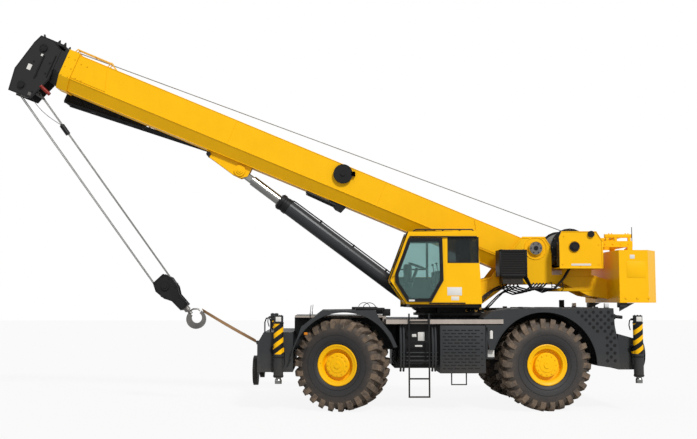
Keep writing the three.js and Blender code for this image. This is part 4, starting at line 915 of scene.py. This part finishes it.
seat_pad = cushion("seat_cushion", (0.54, 0.46, 0.15), Matrix.Translation(at(0.27, 0.96, 2.575)),
                   (-0.45, 0.1, 0.6))
back_place = Matrix.Translation(at(0.01, 0.96, 2.93)) @ Matrix.Rotation(math.radians(82), 4, "Y")
cushion("seat_back", (0.60, 0.43, 0.13), back_place, (-0.5, 0.0, 0.5))
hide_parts("cab_seat")
head_place = Matrix.Translation(at(-0.045, 0.96, 3.30)) @ Matrix.Rotation(math.radians(84), 4, "Y")
cushion("seat_headrest", (0.16, 0.26, 0.09), head_place, ())
for name, y in (("seat_arm_inner", 0.69), ("seat_arm_outer", 1.23)):
    cushion(name, (0.44, 0.075, 0.06), Matrix.Translation(at(0.26, y, 2.83)), ())
seat_base = bmesh.new()
block(seat_base, at(0.08, 0.79, 2.225), at(0.44, 1.13, 2.52), 0.03)
for x in (0.12, 0.40):
    block(seat_base, at(x - 0.03, 0.76, 2.48), at(x + 0.03, 1.16, 2.53), 0.006)
for y in (0.69, 1.23):
    pipe(seat_base, [at(0.06, 0.96 + (y - 0.96) * 0.7, 2.56), at(0.07, y, 2.60), at(0.16, y, 2.80)], 0.014, 8)
for y in (0.90, 1.02):
    bar(seat_base, at(-0.025, y, 3.18), at(-0.045, y, 3.26), 0.008, 8)
settle("seat_base", seat_base, black, "upper_works")

# ---------------------------------------------------------------- oil cooler
# A black box with a louvred outer face beside the boom foot. Hoses leave it underneath and
# run to the winch and the turntable.
coat_nodes(enamel("cooler_paint", (0.020, 0.019, 0.018), 0.5, dust=0.5, dust_top=3.4), "oil_cooler")
slats = bmesh.new()
for i in range(13):
    z = 2.815 + 0.037 * i
    strip(slats, at(-1.40, 0.953, z), at(-0.895, 0.953, z), (0, 0.004, 0.012), (0, 0.001, -0.0006))
for x_low, x_high, z_low, z_high in ((-1.445, -1.405, 2.755, 3.325), (-0.89, -0.85, 2.755, 3.325),
                                     (-1.445, -0.85, 2.755, 2.795), (-1.445, -0.85, 3.285, 3.325)):
    block(slats, at(x_low, 0.944, z_low), at(x_high, 0.960, z_high), 0.003)
for x in (-1.425, -0.87):
    for z in (2.775, 3.04, 3.305):
        bar(slats, at(x, 0.958, z), at(x, 0.968, z), 0.009, 6)
for x in (-1.38, -0.92):
    block(slats, at(x - 0.02, 0.60, 3.315), at(x + 0.02, 0.86, 3.335), 0.004)
settle("cooler_louvres", slats, black, "upper_works")
runs = bmesh.new()
for i in range(5):
    x, y = -0.98 - 0.07 * i, 0.60 + 0.05 * i
    pipe(runs, [at(x, y, 2.62), at(x, y, 2.54), at(x - 0.05, y - 0.01, 2.44 + 0.02 * i),
                at(x - 0.22, y - 0.03, 2.38 + 0.025 * i), at(x - 0.45, y - 0.06, 2.42 + 0.02 * i),
                at(x - 0.62, 0.53, 2.55), at(x - 0.70, 0.485, 2.62)], 0.017, 8)
for i in range(4):
    y = 0.52 + 0.05 * i
    pipe(runs, [at(-1.41 - 0.02 * i, y, 2.80), at(-1.60, y, 2.52), at(-1.85, y, 2.42 + 0.03 * i),
                at(-2.10, y, 2.50), at(-2.30, y, 2.72), at(-2.42, y + 0.04, 2.93)], 0.015, 8)
settle("cooler_hoses", runs, hose_rubber, "upper_works")
loops = bmesh.new()
for x in (-2.04, -2.28):
    rung = ((0.475, 2.64), (0.60, 2.63), (0.62, 2.60), (0.62, 2.50), (0.60, 2.47), (0.475, 2.46))
    pipe(loops, [at(x, y, z) for y, z in rung], 0.010, 8)
bar(loops, at(-2.04, 0.62, 2.55), at(-2.28, 0.62, 2.55), 0.008, 8)
settle("turntable_steps", loops, black, "upper_works")

# ---------------------------------------------------------------- counterweight
# One cast block across the rear with rounded corners. A blank plate, two lifting eyes, a row
# of bolts and a low bracket are all that it carries.
weight = bmesh.new()
for y in (-0.55, 0.55):
    pipe(weight, arc(at(-3.72, y, 3.30), 0.07, 0, 180, 12), 0.018, 8)
for x in (-3.42, -3.66, -3.90):
    for side in (1, -1):
        bar(weight, at(x, side * 1.328, 2.30), at(x, side * 1.345, 2.30), 0.024, 6)
for side in (1, -1):
    block(weight, at(-3.45, side * 1.331 - 0.004, 2.72), at(-3.85, side * 1.331 + 0.004, 3.06), 0.004)
block(weight, at(-3.30, -1.20, 3.296), at(-3.92, 1.20, 3.304), 0.003)
settle("counterweight_trim", weight, yellow, "upper_works")
weight_plate = bmesh.new()
block(weight_plate, at(-3.52, 1.328, 3.12), at(-3.62, 1.333, 3.20), 0.001)
block(weight_plate, at(-2.82, 0.899, 2.985), at(-2.40, 0.904, 3.03), 0.001)
settle("counterweight_plate", weight_plate, white_plastic, "upper_works")
under = bmesh.new()
for side in (1, -1):
    y = side * 1.18
    block(under, at(-3.46, y - 0.10, 2.10), at(-3.30, y + 0.10, 2.205), 0.01)
    plate(under, ((-3.30, 2.195), (-3.62, 2.195), (-3.30, 2.02)), side * 1.24 - 0.008, side * 1.24 + 0.008)
settle("counterweight_brackets", under, charcoal, "upper_works")

# ---------------------------------------------------------------- hoist
# Steel rope lies in close turns on the drum between the winch panels. The panels carry a
# motor, a roller arm, an edge strip and bolts, and a post closes each at the rear.
DRUM_X, DRUM_Z, PANEL_Y = -2.47, 3.39, 0.90
rope_steel = enamel("rope_steel", (0.20, 0.20, 0.19), 0.5, metal=0.5, patch=0.8, grain=0.003)
coat_nodes(black, "hoist_drum")
turns = bmesh.new()
CORE_RADIUS, DRUM_HALF, ROPE_PITCH, TURN_RADIUS = 0.345, 0.505, 0.0225, 0.011
profile = []
for i in range(int(2 * DRUM_HALF / ROPE_PITCH)):
    y = -DRUM_HALF + ROPE_PITCH * (i + 0.5)
    for turn in (150, 110, 70, 30):
        angle = math.radians(turn)
        profile.append((CORE_RADIUS + 0.012 + TURN_RADIUS * math.sin(angle), y + 0.0112 * math.cos(angle)))
profile = [(CORE_RADIUS - 0.01, -DRUM_HALF)] + profile + [(CORE_RADIUS - 0.01, DRUM_HALF)]
turned(turns, profile, 56)
settle("drum_rope", turns, rope_steel, "hoist_drum", place=Matrix.Translation(at(DRUM_X, 0, DRUM_Z)))
ends = bmesh.new()
for side in (1, -1):
    bolt_ring(ends, at(DRUM_X, side * 0.555, DRUM_Z), 0.39, 12, Y_WAY * (side * 0.02), 0.012, X_WAY, Z_WAY)
settle("drum_bolts", ends, steel, "hoist_drum")

winch = bmesh.new()
for side in (1, -1):
    y = side * PANEL_Y
    bar(winch, at(DRUM_X, y - side * 0.04, DRUM_Z), at(DRUM_X, y + side * 0.035, DRUM_Z), 0.105, 32)
    bar(winch, at(DRUM_X, y + side * 0.03, DRUM_Z), at(DRUM_X, y + side * 0.055, DRUM_Z), 0.060, 24)
    bolt_ring(winch, at(DRUM_X, y + side * 0.03, DRUM_Z), 0.085, 8, Y_WAY * (side * 0.014), 0.010,
              X_WAY, Z_WAY, math.pi / 8)
bar(winch, at(-2.83, 0.899, 3.66), at(-2.83, 0.945, 3.66), 0.070, 24)
block(winch, at(-2.155, 0.70, 2.99), at(-2.135, 0.90, 3.50), 0.004)
settle("winch_bearings", winch, black, "upper_works")
panel_trim = bmesh.new()
for side in (1, -1):
    y = side * PANEL_Y
    low, high = sorted((y - side * 0.055, y + side * 0.012))
    strip(panel_trim, at(-2.945, (low + high) / 2, 3.716), at(-2.195, (low + high) / 2, 3.716),
          (0, (high - low) / 2, 0), (0, 0, 0.006))
    strip(panel_trim, at(-3.078, (low + high) / 2, 3.50), at(-2.943, (low + high) / 2, 3.718),
          (0, (high - low) / 2, 0), (0.005, 0, -0.003))
    block(panel_trim, at(-3.085, low, 2.93), at(-3.055, high, 3.51), 0.003)
    block(panel_trim, at(-3.07, low, 2.925), at(-2.15, high, 2.945), 0.003)
    pipe(panel_trim, arc(at(DRUM_X, y + side * 0.002, DRUM_Z), 0.125, 0, 360, 28), 0.008, 6)
    for x, z in ((-3.0, 3.02), (-2.6, 2.98), (-2.22, 3.02), (-3.0, 3.44), (-2.90, 3.64), (-2.25, 3.62)):
        bar(panel_trim, at(x, y, z), at(x, y + side * 0.014, z), 0.013, 6)
    for i in range(4):
        x = -3.20 - 0.17 * i
        bar(panel_trim, at(x, side * 0.668, 3.465), at(x, side * 0.684, 3.465), 0.018, 6)
settle("winch_panel_trim", panel_trim, yellow, "upper_works")
tail = bmesh.new()
for side in (1, -1):
    y = side * 0.62
    block(tail, at(-3.80, y - 0.035, 3.60), at(-3.20, y + 0.035, 3.68), 0.008)
    for x in (-3.26, -3.44, -3.74):
        block(tail, at(x - 0.03, y - 0.030, 3.52), at(x + 0.03, y + 0.030, 3.61), 0.004)
    for x in (-3.30, -3.36, -3.66, -3.72):
        bar(tail, at(x, y, 3.67), at(x, y, 3.70), 0.014, 6)
bar(tail, at(-3.60, -0.62, 3.64), at(-3.60, 0.62, 3.64), 0.035, 20)
settle("rope_roller_arm", tail, yellow, "upper_works")
mast = bmesh.new()
bar(mast, at(-3.79, 0.66, 3.30), at(-3.79, 0.66, 3.83), 0.008, 8)
block(mast, at(-3.82, 0.64, 3.29), at(-3.76, 0.68, 3.33), 0.004)
settle("beacon_rod", mast, black, "upper_works")

# ---------------------------------------------------------------- boom
# A four-part box boom with chamfered lower edges. The base section carries weld seams, a
# doubler at each end, bolted slide pads, a cable reel and the guard rail of the hoist rope.
BOOM_PIVOT, BOOM_REST = at(PIVOT_X, 0, PIVOT_Z), math.radians(22.5)
HALF_WIDTH, BOOM_TOP, CHAMFER_TOP, BOOM_LOW, FLAT_HALF = 0.35, 0.11, -0.46, -0.71, 0.20
BASE_FRONT, HEAD_START = 11.10, 11.288
boom_place = Matrix.Translation(BOOM_PIVOT) @ Matrix.Rotation(-BOOM_REST, 4, "Y")


def along(t, y, n):
    """A place t metres along the boom from its foot pin, and n above the pin's line."""
    return boom_place @ Vector((t, y, n))


def boom_box(mesh, middle, size):
    """A box square to the boom, its middle given as for along."""
    place = boom_place @ Matrix.Translation(middle) @ Matrix.Diagonal((*size, 1))
    bmesh.ops.create_cube(mesh, size=1, matrix=place)


def two_tone(name, change):
    """Yellow boom paint that turns black beyond a place along the boom."""
    material = enamel(name, YELLOW, 0.42, patch=0.94)
    tree = material.node_tree
    way = (math.cos(BOOM_REST), 0, math.sin(BOOM_REST))
    reach = node(tree, "VectorMath", {0: object_place(tree), 1: way}, operation="DOT_PRODUCT")
    beyond = node(tree, "Math", {0: reach.outputs["Value"], 1: BOOM_PIVOT.dot(Vector(way)) + change},
                  operation="GREATER_THAN")
    cover(material, beyond.outputs[0], (0.020, 0.021, 0.020, 1))
    return material


coat_nodes(two_tone("section_paint", BASE_FRONT + 0.003), "boom_mid_inner", "boom_mid_outer")
coat_nodes(two_tone("fly_paint", HEAD_START - 0.005), "boom_fly")
seams = bmesh.new()
for side in (1, -1):
    y = side * (HALF_WIDTH + 0.0005)
    for start, end in ((0.10, 3.55), (3.55, 7.10), (7.10, 10.84)):
        bar(seams, along(start, y, CHAMFER_TOP), along(end, y, CHAMFER_TOP), 0.007, 6)
        bar(seams, along(start, y, BOOM_TOP - 0.006), along(end, y, BOOM_TOP - 0.006), 0.008, 6)
        bar(seams, along(start, side * FLAT_HALF, BOOM_LOW), along(end, side * FLAT_HALF, BOOM_LOW), 0.007, 6)
    for t in (3.55, 7.10):
        bar(seams, along(t, y, CHAMFER_TOP), along(t, y, BOOM_TOP - 0.01), 0.005, 6)
    # doublers: one at the foot and one at the front, each with a slanting end
    for t_low, t_high, slope in ((0.16, 1.15, 0.30), (10.20, 10.845, -0.18)):
        flat = bmesh.new()
        t_top = t_high + slope if slope > 0 else t_high
        t_bottom = t_low if slope > 0 else t_low + slope
        outline = ((t_low, BOOM_TOP - 0.03), (t_top, BOOM_TOP - 0.03), (t_high, CHAMFER_TOP + 0.03),
                   (t_bottom, CHAMFER_TOP + 0.03))
        verts = [flat.verts.new(along(t, side * (HALF_WIDTH - 0.002), n)) for t, n in outline]
        face = flat.faces.new(verts)
        made = bmesh.ops.extrude_face_region(flat, geom=[face])
        moved = [item for item in made["geom"] if isinstance(item, bmesh.types.BMVert)]
        bmesh.ops.translate(flat, vec=Vector((0, side * 0.014, 0)), verts=moved)
        scratch = bpy.data.meshes.new("doubler")
        flat.to_mesh(scratch)
        flat.free()
        seams.from_mesh(scratch)
        bpy.data.meshes.remove(scratch)
settle("boom_seams", seams, yellow, "boom")

COLLAR = 0.382
pads = bmesh.new()
for side in (1, -1):
    for n in (-0.02, -0.24, -0.44):
        for t in (10.90, 11.05):
            bar(pads, along(t, side * COLLAR, n), along(t, side * (COLLAR + 0.016), n), 0.014, 6)
    for t in (10.60, 10.74):
        bar(pads, along(t, side * 0.361, -0.06), along(t, side * 0.376, -0.06), 0.016, 6)
        bar(pads, along(t, side * 0.361, -0.40), along(t, side * 0.376, -0.40), 0.016, 6)
    bar(pads, along(6.64, side * 0.158, -0.875), along(6.64, side * 0.174, -0.875), 0.078, 28)
    bar(pads, along(6.64, side * 0.172, -0.875), along(6.64, side * 0.190, -0.875), 0.045, 6)
for y in (-0.24, -0.08, 0.08, 0.24):
    for t in (10.90, 11.05):
        bar(pads, along(t, y, 0.141), along(t, y, 0.156), 0.014, 6)
settle("slide_pad_bolts", pads, yellow, "boom")

reel = bmesh.new()
reel_middle = at(2.46, 0, 5.01)
for y_low, y_high, radius, sides in ((0.362, 0.370, 0.21, 40), (0.422, 0.430, 0.21, 40),
                                     (0.351, 0.455, 0.05, 24), (0.366, 0.425, 0.165, 36)):
    bar(reel, reel_middle + Y_WAY * y_low, reel_middle + Y_WAY * y_high, radius, sides)
bolt_ring(reel, reel_middle + Y_WAY * 0.430, 0.185, 8, Y_WAY * 0.008, 0.010, X_WAY, Z_WAY)
# the stowage bracket under the boom: a wedge with a bar that reaches forward
for side in (1, -1):
    y = side * 0.17
    wedge = ((4.16, -0.70), (4.22, -0.86), (4.36, -0.85), (4.52, -0.76), (4.60, -0.70))
    plate(reel, wedge, y - 0.012, y + 0.012, along)
    bar(reel, along(4.38, y, -0.78), along(5.10, y, -0.755), 0.030, 12)
    bar(reel, along(7.42, side * 0.119, -0.80), along(7.42, side * 0.165, -0.80), 0.050, 24)
bar(reel, along(4.30, -0.17, -0.80), along(4.30, 0.17, -0.80), 0.040, 12)
bar(reel, along(5.07, -0.17, -0.755), along(5.07, 0.17, -0.755), 0.022, 12)
for side in (1, -1):
    block(reel, reel_middle + Vector((-0.27, 0.352, -0.05)), reel_middle + Vector((-0.17, 0.43, 0.05)), 0.006)
settle("cable_reel", reel, black, "boom")

pale_yellow = enamel("rail_paint", (0.80, 0.50, 0.10), 0.5, patch=0.9)
guard = bmesh.new()
for y in (-0.075, 0.075):
    hoop = ((10.00, 0.10), (10.22, 0.245), (11.04, 0.250), (11.09, 0.14))
    pipe(guard, [along(t, y, n) for t, n in hoop], 0.014, 8)
    bar(guard, along(10.22, y, 0.245), along(10.30, y, 0.10), 0.012, 8)
for t in (10.22, 10.62, 11.02):
    bar(guard, along(t, -0.09, 0.248), along(t, 0.09, 0.248), 0.018, 12)
settle("rope_guard", guard, pale_yellow, "boom")

# the head: bearing caps and their bolts, a bead round each cheek, ribs, top fins and rollers
UPPER_PIN, LOWER_PIN = (11.678, -0.04), (11.80, -0.98)
knobs = bmesh.new()
for side in (1, -1):
    y = side * 0.275
    for (t, n), inner, outer, radius in ((UPPER_PIN, 0.0, 0.035, 0.085), (LOWER_PIN, 0.028, 0.050, 0.075)):
        bar(knobs, along(t, y + side * inner, n), along(t, y + side * outer, n), radius, 28)
    for i in range(6):
        angle = i * math.pi / 3
        for t, n, radius in ((*UPPER_PIN, 0.065), (*LOWER_PIN, 0.055)):
            spot = along(t + radius * math.cos(angle), y + side * 0.034, n + radius * math.sin(angle))
            bar(knobs, spot, spot + Vector((0, side * 0.022, 0)), 0.008, 6)
    edge = ((11.30, 0.05), (11.54, 0.19), (11.84, 0.19), (11.92, -0.005), (12.075, -0.70), (12.01, -1.19),
            (11.49, -1.18), (11.30, -0.64))
    loop = [along(t, side * 0.276, n) for t, n in edge]
    pipe(knobs, loop + loop[:2], 0.009, 6)
    for t, n in ((11.42, -0.30), (11.42, -0.55), (11.58, -0.66), (11.76, -0.40), (11.52, -1.04)):
        bar(knobs, along(t, side * 0.274, n), along(t, side * 0.292, n), 0.018, 6)
    # two ribs down the cheek and a stub on its top
    bar(knobs, along(11.60, side * 0.278, -0.20), along(11.60, side * 0.278, -0.74), 0.022, 6)
    bar(knobs, along(11.36, side * 0.278, -0.10), along(11.36, side * 0.278, -0.62), 0.016, 6)
    bar(knobs, along(11.74, side * 0.24, 0.17), along(11.80, side * 0.24, 0.245), 0.020, 12)
for t, y in ((11.31, -0.18), (11.31, 0.18), (11.44, -0.20), (11.44, 0.20)):
    bmesh.ops.create_cone(knobs, cap_ends=True, segments=4, radius1=0.07, radius2=0.012, depth=0.14,
                          matrix=boom_place @ Matrix.Translation((t, y, 0.20)))
bar(knobs, along(11.36, -0.20, 0.165), along(11.36, 0.20, 0.165), 0.034, 16)
bar(knobs, along(11.295, -0.26, -0.05), along(11.295, 0.26, -0.05), 0.040, 16)
settle("head_fittings", knobs, black, "boom_fly")
stickers = bmesh.new()
for t, n, wide, tall in ((11.80, -0.55, 0.09, 0.13), (11.65, -0.20, 0.045, 0.05)):
    boom_box(stickers, (t, 0.2755, n), (wide, 0.003, tall))
settle("head_plates", stickers, white_plastic, "boom_fly")
foot_piece = bmesh.new()
boom_box(foot_piece, (11.55, 0.22, -1.10), (0.07, 0.12, 0.07))
settle("head_foot", foot_piece, steel, "boom_fly")
red_block = bmesh.new()
bar(red_block, along(11.37, 0.24, -0.86), along(11.15, 0.24, -0.94), 0.040, 16)
bar(red_block, along(11.40, 0.24, -0.84), along(11.37, 0.24, -0.86), 0.052, 16)
settle("head_switch", red_block, red_plastic, "boom_fly")

# ---------------------------------------------------------------- lift cylinder
# A dark barrel with a bolted gland, a valve block at its base and two hard pipes along its
# top. The bright rod narrows to the eye that carries the boom.
LIFT_ANGLE, BARREL_RADIUS = math.radians(36.7587), 0.165
lift_place = Matrix.Translation(at(0.80, 0, 2.17)) @ Matrix.Rotation(-LIFT_ANGLE, 4, "Y")
coat_nodes(enamel("barrel_enamel", (0.040, 0.042, 0.045), 0.28, patch=0.9, grain=0.004), "lift_barrel")
coat_nodes(bright_rod, "lift_rod")
gland = bmesh.new()
outline = ((BARREL_RADIUS - 0.01, 3.56), (BARREL_RADIUS + 0.014, 3.57), (BARREL_RADIUS + 0.014, 3.66),
           (BARREL_RADIUS + 0.004, 3.67), (BARREL_RADIUS + 0.004, 3.72), (BARREL_RADIUS + 0.018, 3.73),
           (BARREL_RADIUS + 0.018, 3.80), (BARREL_RADIUS, 3.815), (0.118, 3.822), (0.118, 3.79))
turned(gland, outline, 48)
bmesh.ops.rotate(gland, cent=(0, 0, 0), matrix=Matrix.Rotation(math.radians(-90), 3, "Z"), verts=gland.verts)
bolt_ring(gland, (3.815, 0, 0), 0.142, 12, X_WAY * 0.022, 0.011, Y_WAY, Z_WAY)
for y in (-0.05, 0.05):
    hard_pipe = ((0.42, 0.20), (0.50, 0.195), (3.46, 0.190), (3.54, 0.186), (3.60, 0.165))
    pipe(gland, [(x, y, z) for x, z in hard_pipe], 0.011, 8)
for x in (1.0, 1.9, 2.8):
    block(gland, (x - 0.02, -0.08, 0.160), (x + 0.02, 0.08, 0.208), 0.003)
block(gland, (0.24, -0.09, 0.15), (0.44, 0.09, 0.25), 0.008)
for y in (-0.05, 0.0, 0.05):
    bar(gland, (0.30, y, 0.245), (0.30, y, 0.275), 0.018, 6)
settle("lift_fittings", gland, black, "lift_barrel", place=lift_place)

# ---------------------------------------------------------------- stowed jib
# The lattice jib lies along the boom's right side. Its close lacing zigzags over each face
# between the four tapering chords; both ends and the butt's sides are plated.
JIB_AFT, JIB_FORE, JIB_INNER = (1.90, 0.05, -0.20, 0.30), (11.05, -0.38, -0.884, 0.48), 0.54
# The jib and its lacing are coated near black: the jib's own dark grey darkened further by painted shade, as
# it lies in the boom's shadow.
coat_nodes(black, "stowed_jib")
lattice = bmesh.new()


def jib_corners(share):
    """The chord middles at a share of the jib's length: inner and outer top, outer and inner low."""
    t, top, low, width = [a + (b - a) * share for a, b in zip(JIB_AFT, JIB_FORE)]
    return [along(t, -JIB_INNER, top), along(t, -JIB_INNER - width, top),
            along(t, -JIB_INNER - width, low), along(t, -JIB_INNER, low)]


JIB_BAYS = 20
for i in range(JIB_BAYS):
    here, there = jib_corners(i / JIB_BAYS), jib_corners((i + 1) / JIB_BAYS)
    for k in range(4):
        m = (k + 1) % 4
        bar(lattice, here[k] if i % 2 else here[m], there[m] if i % 2 else there[k], 0.016, 8)
for k, m in ((0, 3), (1, 2)):
    near, far = jib_corners(0.80), jib_corners(0.998)
    corners = (near[m], far[m], far[k], near[k].lerp(near[m], 0.75))
    lattice.faces.new([lattice.verts.new(corner) for corner in corners])
for share in (0.004, 0.996):
    corners = jib_corners(share)
    lattice.faces.new([lattice.verts.new(corner) for corner in corners])
    for k in range(4):
        bar(lattice, corners[k], corners[(k + 1) % 4], 0.030, 10)
settle("jib_lacing", lattice, black, "boom")

# ---------------------------------------------------------------- hoist rope
# One steel rope runs from the drum over the boom to the head. It is drawn in lengths, one
# for each part of the boom.
ROPE = 0.010
ROPE_AFT, ROPE_FORE, TOP_SHEAVE = (-0.49, 0.647), (UPPER_PIN[0], 0.165), 0.205


def rope_spot(t):
    """The rope's middle, t metres along the boom."""
    share = (t - ROPE_AFT[0]) / (ROPE_FORE[0] - ROPE_AFT[0])
    return along(t, 0, ROPE_AFT[1] + (ROPE_FORE[1] - ROPE_AFT[1]) * share)


def straight_rope(mesh, start, end, steps):
    """A straight tube with rings along its length."""
    pipe(mesh, [start + (end - start) * (i / steps) for i in range(steps + 1)], ROPE, 8)


LENGTHS = (("hoist_rope_drum", "upper_works", "boom_pivot_pin", ROPE_AFT[0], 0.30),
           ("hoist_rope_foot", "boom_pivot_pin", "boom", 0.30, 1.50),
           ("hoist_rope_base", "boom", "boom_mid_inner", 1.50, 4.60),
           ("hoist_rope_inner", "boom_mid_inner", "boom_mid_outer", 4.60, 8.00),
           ("hoist_rope_outer", "boom_mid_outer", "boom_fly", 8.00, ROPE_FORE[0]))
for name, near, far, t_low, t_high in LENGTHS:
    start, end = rope_spot(t_low), rope_spot(t_high)
    stretch = bmesh.new()
    straight_rope(stretch, start, end, 10)
    piece = settle(name, stretch, rope_steel, None)
    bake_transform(piece)
over = bmesh.new()
bend = [along(UPPER_PIN[0] + TOP_SHEAVE * math.cos(math.radians(a)), 0,
              UPPER_PIN[1] + TOP_SHEAVE * math.sin(math.radians(a))) for a in range(90, -20, -10)]
pipe(over, bend + [along(11.98, 0, -0.90)], ROPE, 8)
settle("hoist_rope_head", over, rope_steel, "boom_fly")

# ---------------------------------------------------------------- reeving, hook block and hook
# Four parts of rope hang from the lower sheaves to the block, whose cheeks are bolted over
# its sheaves. A small ring weight hangs on the rear ropes from a slack thin line.
HANG, BLOCK_TILT = math.radians(35.9), math.radians(7.1)
SHEAVE_MIDDLE, HANG_LENGTH, REEVE_HALF = at(9.547, 0, 6.991), 5.479, 0.185
down = Vector((-math.sin(HANG), 0, -math.cos(HANG)))
fore = Vector((math.cos(HANG), 0, -math.sin(HANG)))
block_middle = SHEAVE_MIDDLE + down * HANG_LENGTH
coat_nodes(black, "hook_block")
coat_nodes(steel, "hook")
for name, side in (("reeving_front", 1), ("reeving_rear", -1)):
    parts = bmesh.new()
    for y in (-0.10, 0.10):
        start = SHEAVE_MIDDLE + fore * (side * REEVE_HALF) + Vector((0, y, 0))
        end = block_middle + fore * (side * REEVE_HALF) + Vector((0, y * 0.8, 0))
        straight_rope(parts, start, end, 16)
    piece = settle(name, parts, rope_steel, None)
    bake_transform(piece)

ring_weight = bmesh.new()
WEIGHT_DROP = 1.22
weight_spot = SHEAVE_MIDDLE + down * WEIGHT_DROP - fore * REEVE_HALF + Vector((0, 0.10, 0))
bar(ring_weight, weight_spot, weight_spot + down * 0.24, 0.055, 20)
bar(ring_weight, weight_spot - down * 0.03, weight_spot, 0.022, 12, far_radius=0.055)
slack_top = SHEAVE_MIDDLE + down * 0.22 - fore * 0.02 + Vector((0, 0.24, 0))
pipe(ring_weight, [slack_top.lerp(weight_spot, i / 12) + Vector((0.06, 0, -0.05)) * math.sin(math.pi * i / 12)
                   for i in range(13)], 0.006, 6)
piece = settle("limit_weight", ring_weight, black, None)
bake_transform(piece)

block_trim = bmesh.new()
block_place = Matrix.Translation(block_middle) @ Matrix.Rotation(HANG + BLOCK_TILT, 4, "Y")
for side in (1, -1):
    y = side * 0.170
    bar(block_trim, (0, y, 0), (0, y + side * 0.035, 0), 0.085, 24)
    bar(block_trim, (0, y + side * 0.03, 0), (0, y + side * 0.050, 0), 0.045, 6)
    for x, z in ((-0.17, 0.08), (0.17, 0.08), (-0.11, 0.20), (0.11, 0.20), (-0.15, -0.16), (0.15, -0.16),
                 (-0.07, -0.38), (0.07, -0.38), (-0.07, -0.57), (0.07, -0.57)):
        bar(block_trim, (x, y, z), (x, y + side * 0.016, z), 0.018, 6)
    cheek = ((-0.215, 0.06), (-0.14, 0.228), (0.14, 0.228), (0.215, 0.06), (0.187, -0.17), (0.105, -0.33),
             (0.094, -0.608), (-0.094, -0.608), (-0.105, -0.33), (-0.187, -0.17))
    loop = [Vector((x, y, z)) for x, z in cheek]
    pipe(block_trim, loop + loop[:2], 0.008, 6)
for x, z in ((-0.13, 0.21), (0.13, 0.21), (-0.205, -0.10), (0.205, -0.10)):
    bar(block_trim, (x, -0.15, z), (x, 0.15, z), 0.020, 12)
for y in (-0.08, 0.0, 0.08):
    bar(block_trim, (0, y - 0.026, 0), (0, y + 0.026, 0), 0.222, 40)
settle("block_fittings", block_trim, black, "hook_block", place=block_place)

# the latch across the hook's mouth
latch = bmesh.new()
pipe(latch, [(-0.02, 0, -0.745), (-0.10, 0, -0.765), (-0.175, 0, -0.83), (-0.185, 0, -0.90)], 0.018, 8)
bar(latch, (-0.02, -0.055, -0.745), (-0.02, 0.055, -0.745), 0.018, 12)
settle("hook_latch", latch, steel, "hook_block", place=block_place)

# ---------------------------------------------------------------- tie-down sling
# A flat tan webbing sling holds the hook to the bumper lug. It turns slowly along its
# length and sags a little.
webbing = enamel("sling_webbing", (0.34, 0.20, 0.10), 0.85, patch=0.8, grain=0.004)
sling = bmesh.new()
SLING_TOP, SLING_LOW, SLING_HALF, SLING_THICK = at(5.53, 0, 2.03), at(4.35, 0, 1.355), 0.050, 0.006
SLING_STEPS = 28
rows = []
for i in range(SLING_STEPS + 1):
    share = i / SLING_STEPS
    spot = SLING_TOP + (SLING_LOW - SLING_TOP) * share + Vector((0, 0, -0.012 * math.sin(math.pi * share)))
    turn = math.radians(62 + 40 * math.sin(math.pi * share))
    wide = Vector((0.35 * math.sin(turn), math.cos(turn), 0.9 * math.sin(turn))).normalized() * SLING_HALF
    thick = wide.cross(SLING_LOW - SLING_TOP).normalized() * SLING_THICK
    section = ((-1, -1), (1, -1), (1, 1), (-1, 1))
    rows.append([sling.verts.new(spot + wide * a + thick * b) for a, b in section])
for before, after in zip(rows, rows[1:]):
    for k in range(4):
        m = (k + 1) % 4
        sling.faces.new((before[k], before[m], after[m], after[k]))
sling.faces.new(rows[0])
sling.faces.new(rows[-1])
settle("tie_down_sling", sling, webbing, "carrier")
